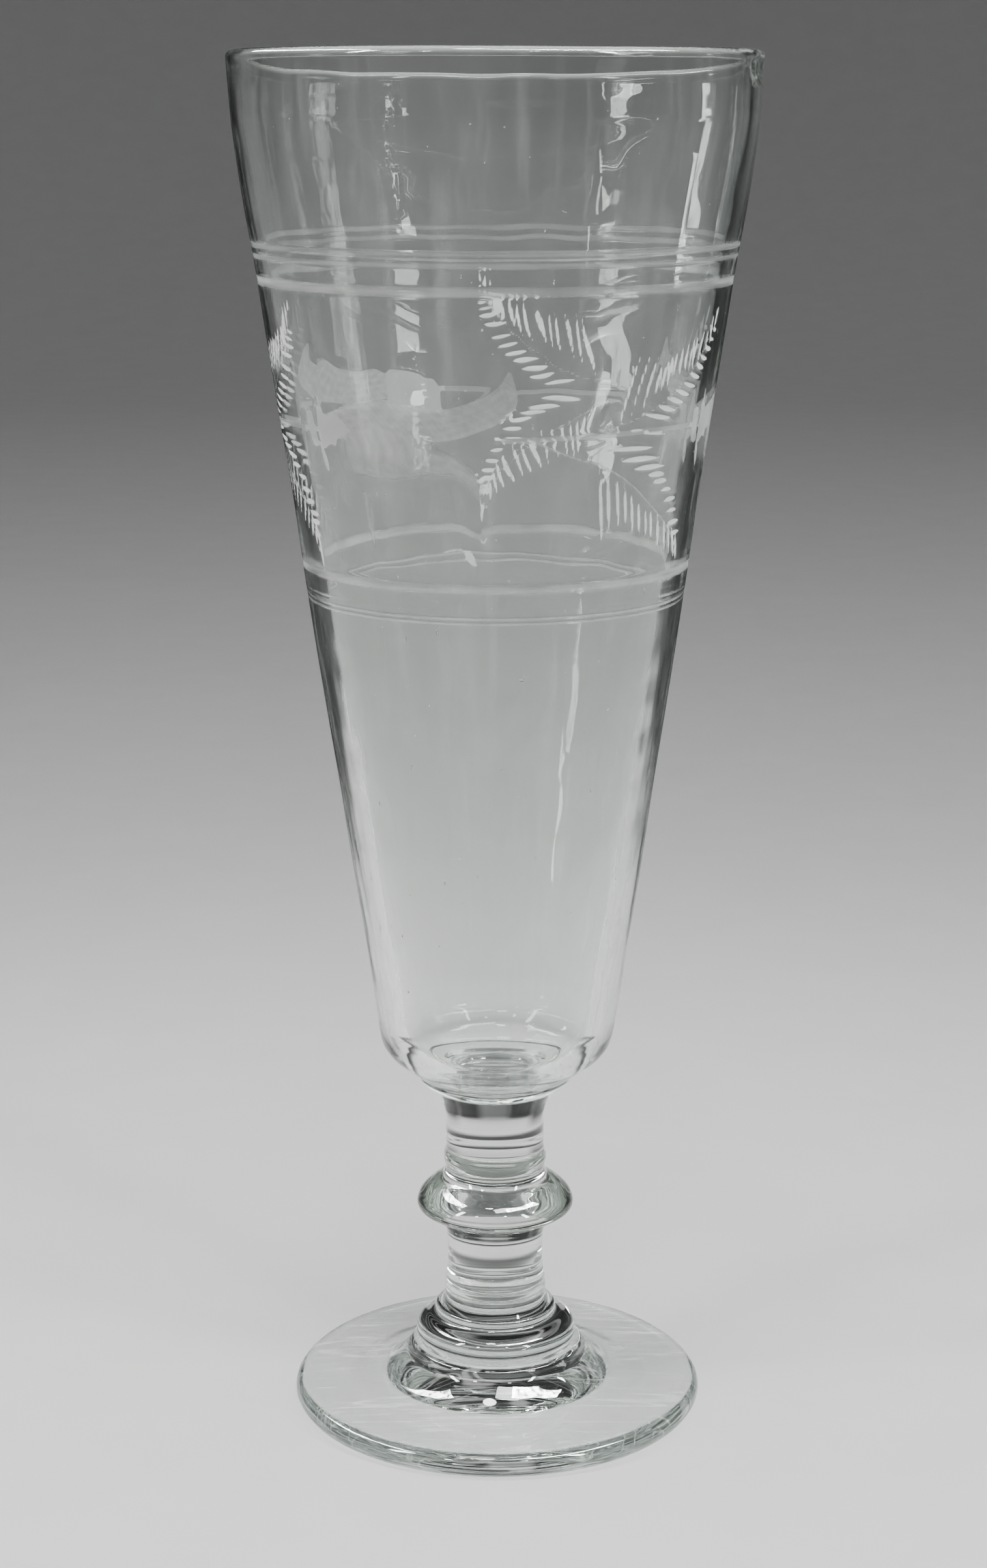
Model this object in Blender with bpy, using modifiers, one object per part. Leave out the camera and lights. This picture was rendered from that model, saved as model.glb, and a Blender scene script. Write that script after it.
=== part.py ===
"""Footed ale glass with an engraved funnel bowl and a knopped stem.

The glass stands on the XY plane with +Z up and its axis on Z.  Every piece is
one gather of glass, turned about the axis: the blown bowl, the collar under
it, the upper stem, the ring knop, the lower stem, the base knop and the foot.
Where two gathers meet there is a flat joint, kept open by JOINT_GAP.
Lengths are in metres.
"""
import math

import bmesh
import bpy

# ---------------------------------------------------------------- dimensions
HEIGHT = 0.2533            # table to the top of the rim
RIM_RADIUS = 0.0472        # outside of the rim
FOOT_RADIUS = 0.0390       # outside of the foot
JOINT_GAP = 0.0003         # open joint between two gathers
SEGMENTS = 56              # flats round each turned piece

# heights of the joints between the gathers
Z_FOOT_TOP = 0.0112        # foot boss / base knop
Z_BASE_KNOP_TOP = 0.0187   # base knop / lower stem
Z_LOWER_STEM_TOP = 0.0349  # lower stem / ring knop
Z_RING_KNOP_TOP = 0.0447   # ring knop / upper stem
Z_UPPER_STEM_TOP = 0.0622  # upper stem / collar
Z_COLLAR_TOP = 0.0656      # collar / bowl

# bowl
BOWL_FLOOR_Z = 0.0681      # inside floor of the bowl, on the axis
BOWL_SEAT_RADIUS = 0.0149  # flat under the bowl, where the collar is fused on
WALL_AT_RIM = 0.0026       # fire-polished bead at the rim
WALL_BELOW_BEAD = 0.0021   # thinnest wall, a little under the bead
WALL_AT_WAIST = 0.0038     # half way down
WALL_AT_FLOOR = 0.0052     # heavy glass round the floor

# outside of the bowl: (height, radius) up the wall from the shoulder
BOWL_WALL = (
    (0.0737, 0.0220),
    (0.0855, 0.0237),
    (0.0968, 0.0254),
    (0.1094, 0.0273),
    (0.1219, 0.0290),
    (0.1342, 0.0309),
    (0.1464, 0.0327),
    (0.1630, 0.0350),
    (0.1750, 0.0365),
    (0.1892, 0.0387),
    (0.2055, 0.0411),
    (0.2160, 0.0426),
    (0.2283, 0.0447),
    (0.2400, 0.0464),
)

# rings cut round the bowl: (height, width, depth)
CUT_RINGS = (
    (0.2201, 0.0009, 0.00018),   # double line under the rim
    (0.2182, 0.0009, 0.00018),
    (0.2139, 0.0018, 0.00028),   # upper border of the engraved band
    (0.1634, 0.0018, 0.00028),   # lower border of the engraved band
)

# flake lost from the rim
CHIP_AZIMUTH = math.radians(-11.0)
CHIP_DEPTH = 0.00155       # how far it bites into the outer side of the bead
CHIP_Z = HEIGHT - 0.0035
CHIP_AXES = (0.0040, 0.0260, 0.0041)   # outward, along the rim, upward

# foot
FOOT_EDGE = 0.0044         # thickness of the foot at its edge
FOOT_REST_INNER = 0.0290   # the foot rests on a flat ring from here outwards
FOOT_REST_OUTER = 0.0368
FOOT_HOLLOW = 0.0016       # how far the underside is hollowed
BOSS_TOE_RADIUS = 0.0224   # where the domed boss runs out on to the plate


# ------------------------------------------------------------------- helpers
def curve_through(stations, per_span):
    """Even Catmull-Rom curve through (radius, height) stations."""
    pts = [stations[0]] + list(stations) + [stations[-1]]
    out = []
    for i in range(1, len(pts) - 2):
        p0, p1, p2, p3 = pts[i - 1], pts[i], pts[i + 1], pts[i + 2]
        for k in range(per_span):
            t = k / per_span
            out.append(tuple(
                0.5 * (2 * p1[j] + (p2[j] - p0[j]) * t
                       + (2 * p0[j] - 5 * p1[j] + 4 * p2[j] - p3[j]) * t * t
                       + (3 * p1[j] - p0[j] - 3 * p2[j] + p3[j]) * t ** 3)
                for j in (0, 1)))
    out.append(tuple(stations[-1]))
    return out


def between(value, table):
    """Straight-line look-up in a rising (key, value) table."""
    if value <= table[0][0]:
        return table[0][1]
    for (a, fa), (b, fb) in zip(table, table[1:]):
        if value <= b:
            return fa + (fb - fa) * (value - a) / (b - a)
    return table[-1][1]


def turned(name, profile, collection, colour, roughness):
    """One turned solid from a profile that runs down its outer side."""
    mesh = bpy.data.meshes.new(name)
    mesh.from_pydata([(r, 0.0, z) for r, z in profile],
                     [(i, i + 1) for i in range(len(profile) - 1)], [])
    obj = bpy.data.objects.new(name, mesh)
    collection.objects.link(obj)
    screw = obj.modifiers.new("turn", 'SCREW')
    screw.axis = 'Z'
    screw.angle = 2.0 * math.pi
    screw.steps = SEGMENTS
    screw.render_steps = SEGMENTS
    screw.use_merge_vertices = True
    screw.merge_threshold = 0.00001
    screw.use_smooth_shade = True
    material = bpy.data.materials.new(name + "_glass")
    material.use_nodes = True
    shader = material.node_tree.nodes["Principled BSDF"]
    shader.inputs["Base Color"].default_value = (*colour, 1.0)
    shader.inputs["Roughness"].default_value = roughness
    shader.inputs["Metallic"].default_value = 0.0
    shader.inputs["IOR"].default_value = 1.52
    shader.inputs["Transmission Weight"].default_value = 1.0
    mesh.materials.append(material)
    return obj


# --------------------------------------------------------------------- scene
for old in list(bpy.data.objects):
    bpy.data.objects.remove(old, do_unlink=True)
for old in list(bpy.data.collections):
    bpy.data.collections.remove(old)

glass = bpy.data.collections.new("footed_ale_glass")
cutters = bpy.data.collections.new("cutters")
bpy.context.scene.collection.children.link(glass)
bpy.context.scene.collection.children.link(cutters)

CLEAR = (0.93, 0.96, 0.94)
HEAVY = (0.88, 0.93, 0.90)


# ---------------------------------------------------------------------- bowl
def outside_radius(z):
    return between(z, BOWL_WALL + ((HEIGHT - 0.0020, RIM_RADIUS),))


def wall(z):
    return between(z, ((BOWL_FLOOR_Z, WALL_AT_FLOOR),
                       (0.1650, WALL_AT_WAIST),
                       (0.2420, WALL_BELOW_BEAD),
                       (HEIGHT - 0.0030, WALL_AT_RIM)))


inside = [(0.0, BOWL_FLOOR_Z), (0.0070, BOWL_FLOOR_Z + 0.0001),
          (0.0115, BOWL_FLOOR_Z + 0.0006), (0.0143, BOWL_FLOOR_Z + 0.0020),
          (0.0160, BOWL_FLOOR_Z + 0.0041), (0.0170, BOWL_FLOOR_Z + 0.0069)]
for i in range(1, 9):
    z = BOWL_FLOOR_Z + 0.0069 + (0.2400 - BOWL_FLOOR_Z - 0.0069) * i / 8
    inside.append((outside_radius(z) - wall(z), z))

bead_z = HEIGHT - WALL_AT_RIM / 2
bead_r = RIM_RADIUS - WALL_AT_RIM / 2
inside.append((bead_r - WALL_AT_RIM / 2, bead_z - 0.0012))
rim = [(bead_r - WALL_AT_RIM / 2 * math.cos(a), bead_z + WALL_AT_RIM / 2 * math.sin(a))
       for a in (math.radians(v) for v in (0, 45, 90, 135, 180))]

outside = [(z, r, 0.0) for z, r in BOWL_WALL]
rings = []
for z, width, depth in CUT_RINGS:
    r = outside_radius(z)
    slope = (outside_radius(z + 0.001) - outside_radius(z - 0.001)) / 0.002
    for dz, cut in ((width / 2, 0.0), (0.0, depth), (-width / 2, 0.0)):
        rings.append((z + dz, r + slope * dz - cut, 1.0))
near_ring = [z for z, width, depth in CUT_RINGS]
outside = [p for p in outside if min(abs(p[0] - z) for z in near_ring) > 0.0016]
outside = sorted(outside + rings, reverse=True)
shoulder = curve_through([(0.0220, 0.0737), (0.0213, 0.0713), (0.0201, 0.0697),
                          (0.0171, 0.0672), (BOWL_SEAT_RADIUS, Z_COLLAR_TOP)], 2)

bowl_profile = (inside + rim
                + [(r, z) for z, r, cut in outside if z > 0.0740]
                + shoulder + [(0.0, Z_COLLAR_TOP)])
bowl = turned("bowl", bowl_profile, glass, CLEAR, 0.02)

# the flake scooped out of the rim
chip_r = RIM_RADIUS + CHIP_AXES[0] - CHIP_DEPTH
bpy.ops.mesh.primitive_uv_sphere_add(
    segments=28, ring_count=14, radius=1.0,
    location=(chip_r * math.cos(CHIP_AZIMUTH), chip_r * math.sin(CHIP_AZIMUTH), CHIP_Z))
chip = bpy.context.object
chip.name = "rim_chip_cutter"
chip.scale = CHIP_AXES
chip.rotation_euler = (0.0, 0.0, CHIP_AZIMUTH)
for owner in list(chip.users_collection):
    owner.objects.unlink(chip)
cutters.objects.link(chip)
chip.hide_render = True
chip.display_type = 'WIRE'
flake = bowl.modifiers.new("rim_chip", 'BOOLEAN')
flake.operation = 'DIFFERENCE'
flake.solver = 'EXACT'
flake.object = chip

# -------------------------------------------------------------------- collar
top, bottom = Z_COLLAR_TOP - JOINT_GAP, Z_UPPER_STEM_TOP + JOINT_GAP
turned("bowl_collar", [
    (0.0, top), (0.0139, top), (0.0143, top - 0.0003), (0.0142, top - 0.0008),
    (0.0128, bottom + 0.0010), (0.0119, bottom + 0.0002), (0.0114, bottom),
    (0.0, bottom)], glass, HEAVY, 0.02)

# ---------------------------------------------------------------- upper stem
top, bottom = Z_UPPER_STEM_TOP, Z_RING_KNOP_TOP + JOINT_GAP
turned("upper_stem", [(0.0, top)] + curve_through([
    (0.0110, top), (0.0103, 0.0603), (0.0096, 0.0584), (0.00935, 0.0567),
    (0.00935, 0.0505), (0.0096, 0.0489), (0.0094, 0.0470), (0.0096, 0.0460),
    (0.0101, bottom)], 2) + [(0.0, bottom)], glass, CLEAR, 0.02)

# ----------------------------------------------------------------- ring knop
top, bottom = Z_RING_KNOP_TOP, Z_LOWER_STEM_TOP + JOINT_GAP
turned("annular_knop", [(0.0, top)] + curve_through([
    (0.0104, top), (0.0124, 0.0431), (0.0142, 0.0413), (0.0149, 0.0398),
    (0.0144, 0.0385), (0.0122, 0.0374), (0.0104, 0.0364), (0.0099, bottom)], 2)
    + [(0.0, bottom)], glass, HEAVY, 0.02)

# ---------------------------------------------------------------- lower stem
top, bottom = Z_LOWER_STEM_TOP, Z_BASE_KNOP_TOP + JOINT_GAP
turned("lower_stem", [(0.0, top)] + curve_through([
    (0.0098, top), (0.0093, 0.0333), (0.0091, 0.0310), (0.00905, 0.0276),
    (0.0094, 0.0245), (0.0096, 0.0222), (0.0104, bottom)], 2)
    + [(0.0, bottom)], glass, CLEAR, 0.02)

# ----------------------------------------------------------------- base knop
top, bottom = Z_BASE_KNOP_TOP, Z_FOOT_TOP + JOINT_GAP
turned("base_knop", [
    (0.0, top), (0.0109, top), (0.0114, top - 0.0004), (0.0114, top - 0.0012)]
    + curve_through([(0.0118, top - 0.0018), (0.0136, 0.0162), (0.0149, 0.0148),
                     (0.0153, 0.0132), (0.0147, bottom)], 2)
    + [(0.0, bottom)], glass, HEAVY, 0.02)

# ---------------------------------------------------------------------- foot
top = Z_FOOT_TOP
edge = FOOT_EDGE
foot_profile = [(0.0, top), (0.0156, top)]
foot_profile += curve_through([
    (0.0162, top - 0.0002), (0.0176, 0.0096), (0.0198, 0.0071),
    (BOSS_TOE_RADIUS, 0.0054), (0.0260, 0.0050)], 2)
foot_profile += [(0.0320, 0.0047), (0.0370, edge), (0.0382, edge - 0.0004),
                 (0.0388, edge - 0.0012), (FOOT_RADIUS, edge / 2),
                 (0.0388, 0.0011), (0.0381, 0.0004), (FOOT_REST_OUTER, 0.0),
                 (FOOT_REST_INNER, 0.0)]
for i in range(1, 6):
    t = i / 6
    foot_profile.append((FOOT_REST_INNER * (1 - t),
                         FOOT_HOLLOW * math.sin(t * math.pi / 2)))
foot_profile.append((0.0, FOOT_HOLLOW))
turned("foot", foot_profile, glass, HEAVY, 0.02)

for obj in glass.objects:
    obj.data.shade_smooth()
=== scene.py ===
import math
import random

import bpy
import mathutils
import numpy as np
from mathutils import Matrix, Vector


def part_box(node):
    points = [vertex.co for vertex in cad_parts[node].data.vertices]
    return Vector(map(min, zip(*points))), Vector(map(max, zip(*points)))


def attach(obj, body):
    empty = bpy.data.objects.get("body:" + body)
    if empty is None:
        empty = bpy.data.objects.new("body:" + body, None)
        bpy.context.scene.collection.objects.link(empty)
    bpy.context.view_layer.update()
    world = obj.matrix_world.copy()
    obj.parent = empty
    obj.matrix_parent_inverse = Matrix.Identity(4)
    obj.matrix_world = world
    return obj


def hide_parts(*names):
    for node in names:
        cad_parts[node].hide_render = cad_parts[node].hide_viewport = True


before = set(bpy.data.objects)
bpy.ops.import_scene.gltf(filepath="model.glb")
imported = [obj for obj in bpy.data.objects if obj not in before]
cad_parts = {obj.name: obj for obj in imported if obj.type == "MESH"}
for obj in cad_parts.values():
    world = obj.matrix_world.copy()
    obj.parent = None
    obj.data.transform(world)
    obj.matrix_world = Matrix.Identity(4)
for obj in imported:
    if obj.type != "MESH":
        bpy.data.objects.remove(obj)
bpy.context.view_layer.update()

random.seed(7)

# --------------------------------------------------------------------------
# where the CAD says each gather of glass is (metres); joints lie mid-gap
# --------------------------------------------------------------------------
ORDER = ["foot", "base_knop", "lower_stem", "annular_knop", "upper_stem",
         "bowl_collar", "bowl"]
BOX = {n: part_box(n) for n in ORDER}
JOINT = {}
for below, above in zip(ORDER, ORDER[1:]):
    JOINT[below] = 500.0 * (BOX[below][1].z + BOX[above][0].z)      # in mm
TOP = BOX["bowl"][1].z * 1000.0
R_RIM = max(BOX["bowl"][1].x, BOX["bowl"][1].y) * 1000.0
R_FOOT = BOX["foot"][1].x * 1000.0
R_KNOP = BOX["annular_knop"][1].x * 1000.0
R_BASE = BOX["base_knop"][1].x * 1000.0
Z_SEAT = JOINT["bowl_collar"]
MM = 0.001

GLASS, FUSED = 0, 1          # material slots of every glass piece


# --------------------------------------------------------------------------
# turned shapes: profiles in mm as (radius, height), run top to bottom
# --------------------------------------------------------------------------
def spline(stations, step=0.45):
    """Centripetal-looking Catmull-Rom through the stations, sampled evenly."""
    pts = [stations[0]] + list(stations) + [stations[-1]]
    out = []
    for i in range(1, len(pts) - 2):
        p0, p1, p2, p3 = pts[i - 1], pts[i], pts[i + 1], pts[i + 2]
        n = max(2, int(math.ceil(math.hypot(p2[0] - p1[0], p2[1] - p1[1]) / step)))
        for k in range(n):
            t = k / n
            out.append(tuple(
                0.5 * (2 * p1[j] + (p2[j] - p0[j]) * t
                       + (2 * p0[j] - 5 * p1[j] + 4 * p2[j] - p3[j]) * t * t
                       + (3 * p1[j] - p0[j] - 3 * p2[j] + p3[j]) * t ** 3)
                for j in (0, 1)))
    out.append(tuple(stations[-1]))
    return out


def disc(r, z, outward, step=1.6):
    """Rings of a flat joint face, from the axis out or from the edge in."""
    n = max(3, int(r / step))
    radii = [r * i / n for i in range(n)]
    return [(q, z) for q in (radii if outward else radii[::-1])]


def sway(z):
    """The gathers don't sit dead true on one another: the axis wanders."""
    zs = [0, 11, 19, 30, 45, 62, 66, 78, 98, 150, 200, 230, 254]
    xs = [0.42, 0.30, 0.06, -0.02, 0.02, -0.08, 0.05, 0.38, 0.40, 0.12, 0.0, 0.05, 0.0]
    ys = [0.00, 0.05, 0.10, 0.05, 0.00, 0.03, 0.05, 0.12, 0.15, 0.05, 0.0, 0.0, 0.0]
    t = np.asarray(z, float)

    def smooth(v):
        lo = np.interp(t - 2.0, zs, v)
        hi = np.interp(t + 2.0, zs, v)
        return (lo + hi + np.interp(t, zs, v)) / 3.0
    return smooth(xs), smooth(ys)


def ripple(theta, z, seed, fine):
    """Drawn-out waviness of blown glass: lobes plus fine upright striations."""
    rng = np.random.RandomState(seed)
    d = np.zeros_like(theta)
    for k, a in ((2, 0.030), (3, 0.020), (5, 0.010), (7, 0.006)):
        d += a * np.sin(k * theta + rng.uniform(0, 6.28) + rng.uniform(-0.01, 0.01) * z)
    for _ in range(16):
        k = rng.randint(9, 64)
        a = fine * rng.uniform(0.4, 1.0) * (18.0 / k)
        d += (a * np.sin(k * theta + rng.uniform(0, 6.28) + rng.uniform(-0.05, 0.05) * z)
              * (0.6 + 0.4 * np.sin(rng.uniform(0.01, 0.06) * z + rng.uniform(0, 6.28))))
    return d


def uneven(theta, z, seed):
    """Small dents and pulls, longer upright than across."""
    rng = np.random.RandomState(seed)
    d = np.zeros_like(theta)
    for _ in range(26):
        k, m = rng.randint(3, 26), rng.uniform(0.10, 0.75)
        d += (0.017 * rng.uniform(0.3, 1.0) / (1 + 0.06 * k)
              * np.sin(k * theta + rng.uniform(0, 6.28)) * np.sin(m * z + rng.uniform(0, 6.28)))
    return d


def turned(name, rows, count, shape=None):
    """A closed turned mesh.  rows: (radius, height, slot of the span below it).
    A radius of 0 is a single point.  shape(theta, r, z, row) moves the ring."""
    verts, index, start = [], [], 0
    theta = np.arange(count) * (2 * math.pi / count)
    # theta is measured from the front (-Y) towards +X
    sx, sy = np.sin(theta), -np.cos(theta)
    for i, (r, z, _) in enumerate(rows):
        if r <= 0:
            dx, dy = sway(z)
            verts.append(np.array([[float(dx), float(dy), z]]))
            index.append((start, 1))
            start += 1
            continue
        rr, zz = np.full(count, float(r)), np.full(count, float(z))
        if shape is not None:
            rr, zz = shape(theta, rr, zz, i)
        dx, dy = sway(zz)
        verts.append(np.stack([rr * sx + dx, rr * sy + dy, zz], 1))
        index.append((start, count))
        start += count
    co = np.concatenate(verts) * MM
    loops, sizes, slots = [], [], []
    j = np.arange(count)
    k = (j + 1) % count
    for (a, na), (b, nb), row in zip(index, index[1:], rows):
        if na == 1 and nb == 1:
            continue
        if na == 1:
            f = np.stack([np.full(count, a), b + j, b + k], 1)
        elif nb == 1:
            f = np.stack([a + k, a + j, np.full(count, b)], 1)
        else:
            f = np.stack([a + j, b + j, b + k, a + k], 1)
        loops.append(f.ravel())
        sizes.append(np.full(count, f.shape[1]))
        slots.append(np.full(count, row[2]))
    loops = np.concatenate(loops).astype(np.int32)
    sizes = np.concatenate(sizes).astype(np.int32)
    slots = np.concatenate(slots).astype(np.int32)
    mesh = bpy.data.meshes.new(name)
    mesh.vertices.add(len(co))
    mesh.vertices.foreach_set("co", co.astype(np.float32).ravel())
    mesh.loops.add(len(loops))
    mesh.loops.foreach_set("vertex_index", loops)
    mesh.polygons.add(len(sizes))
    starts = np.concatenate([[0], np.cumsum(sizes)[:-1]]).astype(np.int32)
    mesh.polygons.foreach_set("loop_start", starts)
    mesh.polygons.foreach_set("material_index", slots)
    mesh.update(calc_edges=True)
    mesh.validate()
    obj = bpy.data.objects.new(name, mesh)
    bpy.context.scene.collection.objects.link(obj)
    mesh.shade_smooth()
    mesh.set_sharp_from_angle(angle=math.radians(38))
    return obj, index


def rows_of(*parts):
    """Joins (points, slot) lists into rows, each with the slot of its span."""
    rows = []
    for pts, slot in parts:
        for p in pts:
            if rows and abs(rows[-1][0] - p[0]) < 1e-6 and abs(rows[-1][1] - p[1]) < 1e-6:
                rows[-1] = (p[0], p[1], slot)
            else:
                rows.append((p[0], p[1], slot))
    return rows


# --------------------------------------------------------------------------
# node helpers
# --------------------------------------------------------------------------
class Nodes:
    def __init__(self, material):
        material.use_nodes = True
        self.tree = material.node_tree
        self.tree.nodes.clear()
        self.out = self.tree.nodes.new("ShaderNodeOutputMaterial")

    def add(self, kind, **values):
        n = self.tree.nodes.new(kind)
        for key, v in values.items():
            if hasattr(n, key):
                setattr(n, key, v)
        return n

    def link(self, a, b):
        self.tree.links.new(a, b)
        return b.node

    def put(self, node, **inputs):
        for key, v in inputs.items():
            socket = node.inputs[key.replace("_", " ")]
            if isinstance(v, bpy.types.NodeSocket):
                self.tree.links.new(v, socket)
            else:
                socket.default_value = v
        return node

    def math(self, op, a, b=None, clamp=False):
        n = self.add("ShaderNodeMath", operation=op, use_clamp=clamp)
        for i, v in enumerate((a, b)):
            if v is None:
                continue
            if isinstance(v, bpy.types.NodeSocket):
                self.tree.links.new(v, n.inputs[i])
            else:
                n.inputs[i].default_value = v
        return n.outputs[0]

    def ramp(self, value, lo, hi, out_lo=0.0, out_hi=1.0, smooth=True):
        n = self.add("ShaderNodeMapRange", interpolation_type='SMOOTHSTEP' if smooth else 'LINEAR')
        n.clamp = True
        self.tree.links.new(value, n.inputs["Value"])
        for key, v in (("From Min", lo), ("From Max", hi), ("To Min", out_lo), ("To Max", out_hi)):
            n.inputs[key].default_value = v
        return n.outputs["Result"]

    def noise(self, scale, detail=3.0, rough=0.55, stretch=(1, 1, 1), offset=(0, 0, 0), distortion=0.0):
        co = self.add("ShaderNodeTexCoord")
        m = self.add("ShaderNodeMapping")
        m.inputs["Scale"].default_value = stretch
        m.inputs["Location"].default_value = offset
        self.tree.links.new(co.outputs["Object"], m.inputs["Vector"])
        n = self.add("ShaderNodeTexNoise")
        n.inputs["Scale"].default_value = scale
        n.inputs["Detail"].default_value = detail
        n.inputs["Roughness"].default_value = rough
        n.inputs["Distortion"].default_value = distortion
        self.tree.links.new(m.outputs["Vector"], n.inputs["Vector"])
        return n.outputs["Fac"]

    def mix(self, fac, a, b):
        n = self.add("ShaderNodeMixShader")
        if isinstance(fac, bpy.types.NodeSocket):
            self.tree.links.new(fac, n.inputs[0])
        else:
            n.inputs[0].default_value = fac
        self.tree.links.new(a, n.inputs[1])
        self.tree.links.new(b, n.inputs[2])
        return n.outputs[0]

    def bump(self, height, distance, strength=1.0, normal=None):
        n = self.add("ShaderNodeBump")
        n.inputs["Strength"].default_value = strength
        n.inputs["Distance"].default_value = distance
        self.tree.links.new(height, n.inputs["Height"])
        if normal is not None:
            self.tree.links.new(normal, n.inputs["Normal"])
        return n.outputs["Normal"]


def lets_light_through(n, surface, share=0.97, edge=0.50):
    """Lamps and the light bounced off the table pass straight through, less
    of it where they meet the glass at a slant, so a soft shadow is left."""
    path = n.add("ShaderNodeLightPath")
    weight = n.add("ShaderNodeLayerWeight")
    weight.inputs["Blend"].default_value = 0.5
    pass_on = n.ramp(weight.outputs["Facing"], 0.45, 0.98, share, edge)
    clear = n.add("ShaderNodeBsdfTransparent")
    n.link(pass_on, clear.inputs[0])
    either = n.math('MAXIMUM', path.outputs["Is Shadow Ray"], path.outputs["Is Diffuse Ray"])
    return n.mix(either, surface, clear.outputs[0])


def scratches(n, scale, turn, seed, lo=0.012, thin=0.004):
    """Fine straight scratches: the zero line of a noise stretched along one way."""
    co = n.add("ShaderNodeTexCoord")
    m = n.add("ShaderNodeMapping")
    m.inputs["Rotation"].default_value = (0, 0, turn)
    m.inputs["Scale"].default_value = (scale * 0.06, scale, scale * 0.4)
    m.inputs["Location"].default_value = (seed, seed * 0.37, seed * 0.11)
    n.tree.links.new(co.outputs["Object"], m.inputs["Vector"])
    t = n.add("ShaderNodeTexNoise")
    t.inputs["Scale"].default_value = 1.0
    t.inputs["Detail"].default_value = 1.0
    n.tree.links.new(m.outputs["Vector"], t.inputs["Vector"])
    line = n.math('ABSOLUTE', n.math('SUBTRACT', t.outputs["Fac"], 0.5))
    return n.ramp(line, thin, lo, 1.0, 0.0)


def glass_material(name, tint, haze, haze_scale, scratch=0.0, engraved=False,
                   streaks=(1, 1, 1), bump=0.00001):
    mat = bpy.data.materials.new(name)
    n = Nodes(mat)
    wave = n.noise(60.0, 2.0, 0.5, stretch=streaks, offset=(3.1, 0.7, 1.9))
    normal = n.bump(wave, bump, 1.0)
    clear = n.add("ShaderNodeBsdfGlass")
    n.put(clear, Color=(*tint, 1), Roughness=0.0, IOR=1.51, Normal=normal)
    # a thin film of age and handling: dull white, patchy, drawn along the wall
    film = n.add("ShaderNodeBsdfDiffuse")
    n.put(film, Color=(0.93, 0.94, 0.93, 1), Roughness=0.4)
    patch = n.noise(haze_scale, 5.0, 0.62, stretch=streaks, offset=(0.3, 0.9, 0.2))
    share = n.ramp(patch, 0.42, 0.78, haze * 0.35, haze)
    if streaks != (1, 1, 1):
        drawn = n.noise(190.0, 3.0, 0.6, stretch=(1, 1, 0.025), offset=(4.3, 2.9, 0.2))
        share = n.math('ADD', share, n.ramp(drawn, 0.52, 0.74, 0.0, 0.05))
    # specks of dust
    specks = n.noise(900.0, 1.0, 0.5, offset=(5.0, 1.0, 2.0))
    share = n.math('ADD', share, n.ramp(specks, 0.79, 0.84, 0.0, 0.35))
    if scratch:
        marks = None
        for i, turn in enumerate((0.3, 1.1, 1.9, 2.7)):
            s = scratches(n, 160.0 + 35 * i, turn, 1.3 + 2.1 * i)
            where = n.ramp(n.noise(55.0, 2.0, 0.5, offset=(i * 3.0, 1.0, 0.0)), 0.50, 0.60)
            s = n.math('MULTIPLY', s, where)
            marks = s if marks is None else n.math('MAXIMUM', marks, s)
        share = n.math('ADD', share, n.math('MULTIPLY', marks, scratch))
    share = n.math('MINIMUM', share, 0.6)
    surface = n.mix(share, clear.outputs[0], film.outputs[0])
    if engraved:
        depth = n.add("ShaderNodeAttribute", attribute_name="frost")
        depth.attribute_type = 'GEOMETRY'
        tone = n.add("ShaderNodeAttribute", attribute_name="frost_tone")
        tone.attribute_type = 'GEOMETRY'
        grain = n.noise(1500.0, 3.0, 0.6)
        edge = n.math('ADD', depth.outputs["Fac"],
                      n.math('MULTIPLY', n.math('SUBTRACT', grain, 0.5), 0.10))
        cut = n.ramp(edge, -0.06, 0.10)
        rough = n.add("ShaderNodeBsdfGlass")
        n.put(rough, Color=(0.97, 0.985, 0.975, 1), Roughness=0.42, IOR=1.47,
              Normal=n.bump(grain, 0.00004, 0.8))
        white = n.add("ShaderNodeBsdfDiffuse")
        n.put(white, Color=(0.95, 0.96, 0.955, 1), Roughness=0.3,
              Normal=n.bump(grain, 0.00004, 0.8))
        through = n.add("ShaderNodeBsdfTranslucent")
        n.put(through, Color=(0.95, 0.96, 0.955, 1))
        body = n.mix(0.35, white.outputs[0], through.outputs[0])
        patchy = n.ramp(n.noise(420.0, 3.0, 0.6, offset=(2.0, 8.0, 1.0)), 0.3, 0.7, 0.80, 1.0)
        weight = n.math('MULTIPLY', tone.outputs["Fac"], patchy)
        matt = n.mix(weight, rough.outputs[0], body)
        cover = n.ramp(tone.outputs["Fac"], 0.0, 0.80, 0.03, 1.0, smooth=False)
        surface = n.mix(n.math('MULTIPLY', cut, cover), surface, matt)
    n.link(lets_light_through(n, surface), n.out.inputs["Surface"])
    return mat


def fused_material():
    mat = bpy.data.materials.new("fused_joint")
    n = Nodes(mat)
    clear = n.add("ShaderNodeBsdfTransparent")
    clear.inputs[0].default_value = (1, 1, 1, 1)
    n.link(clear.outputs[0], n.out.inputs["Surface"])
    return mat


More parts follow.
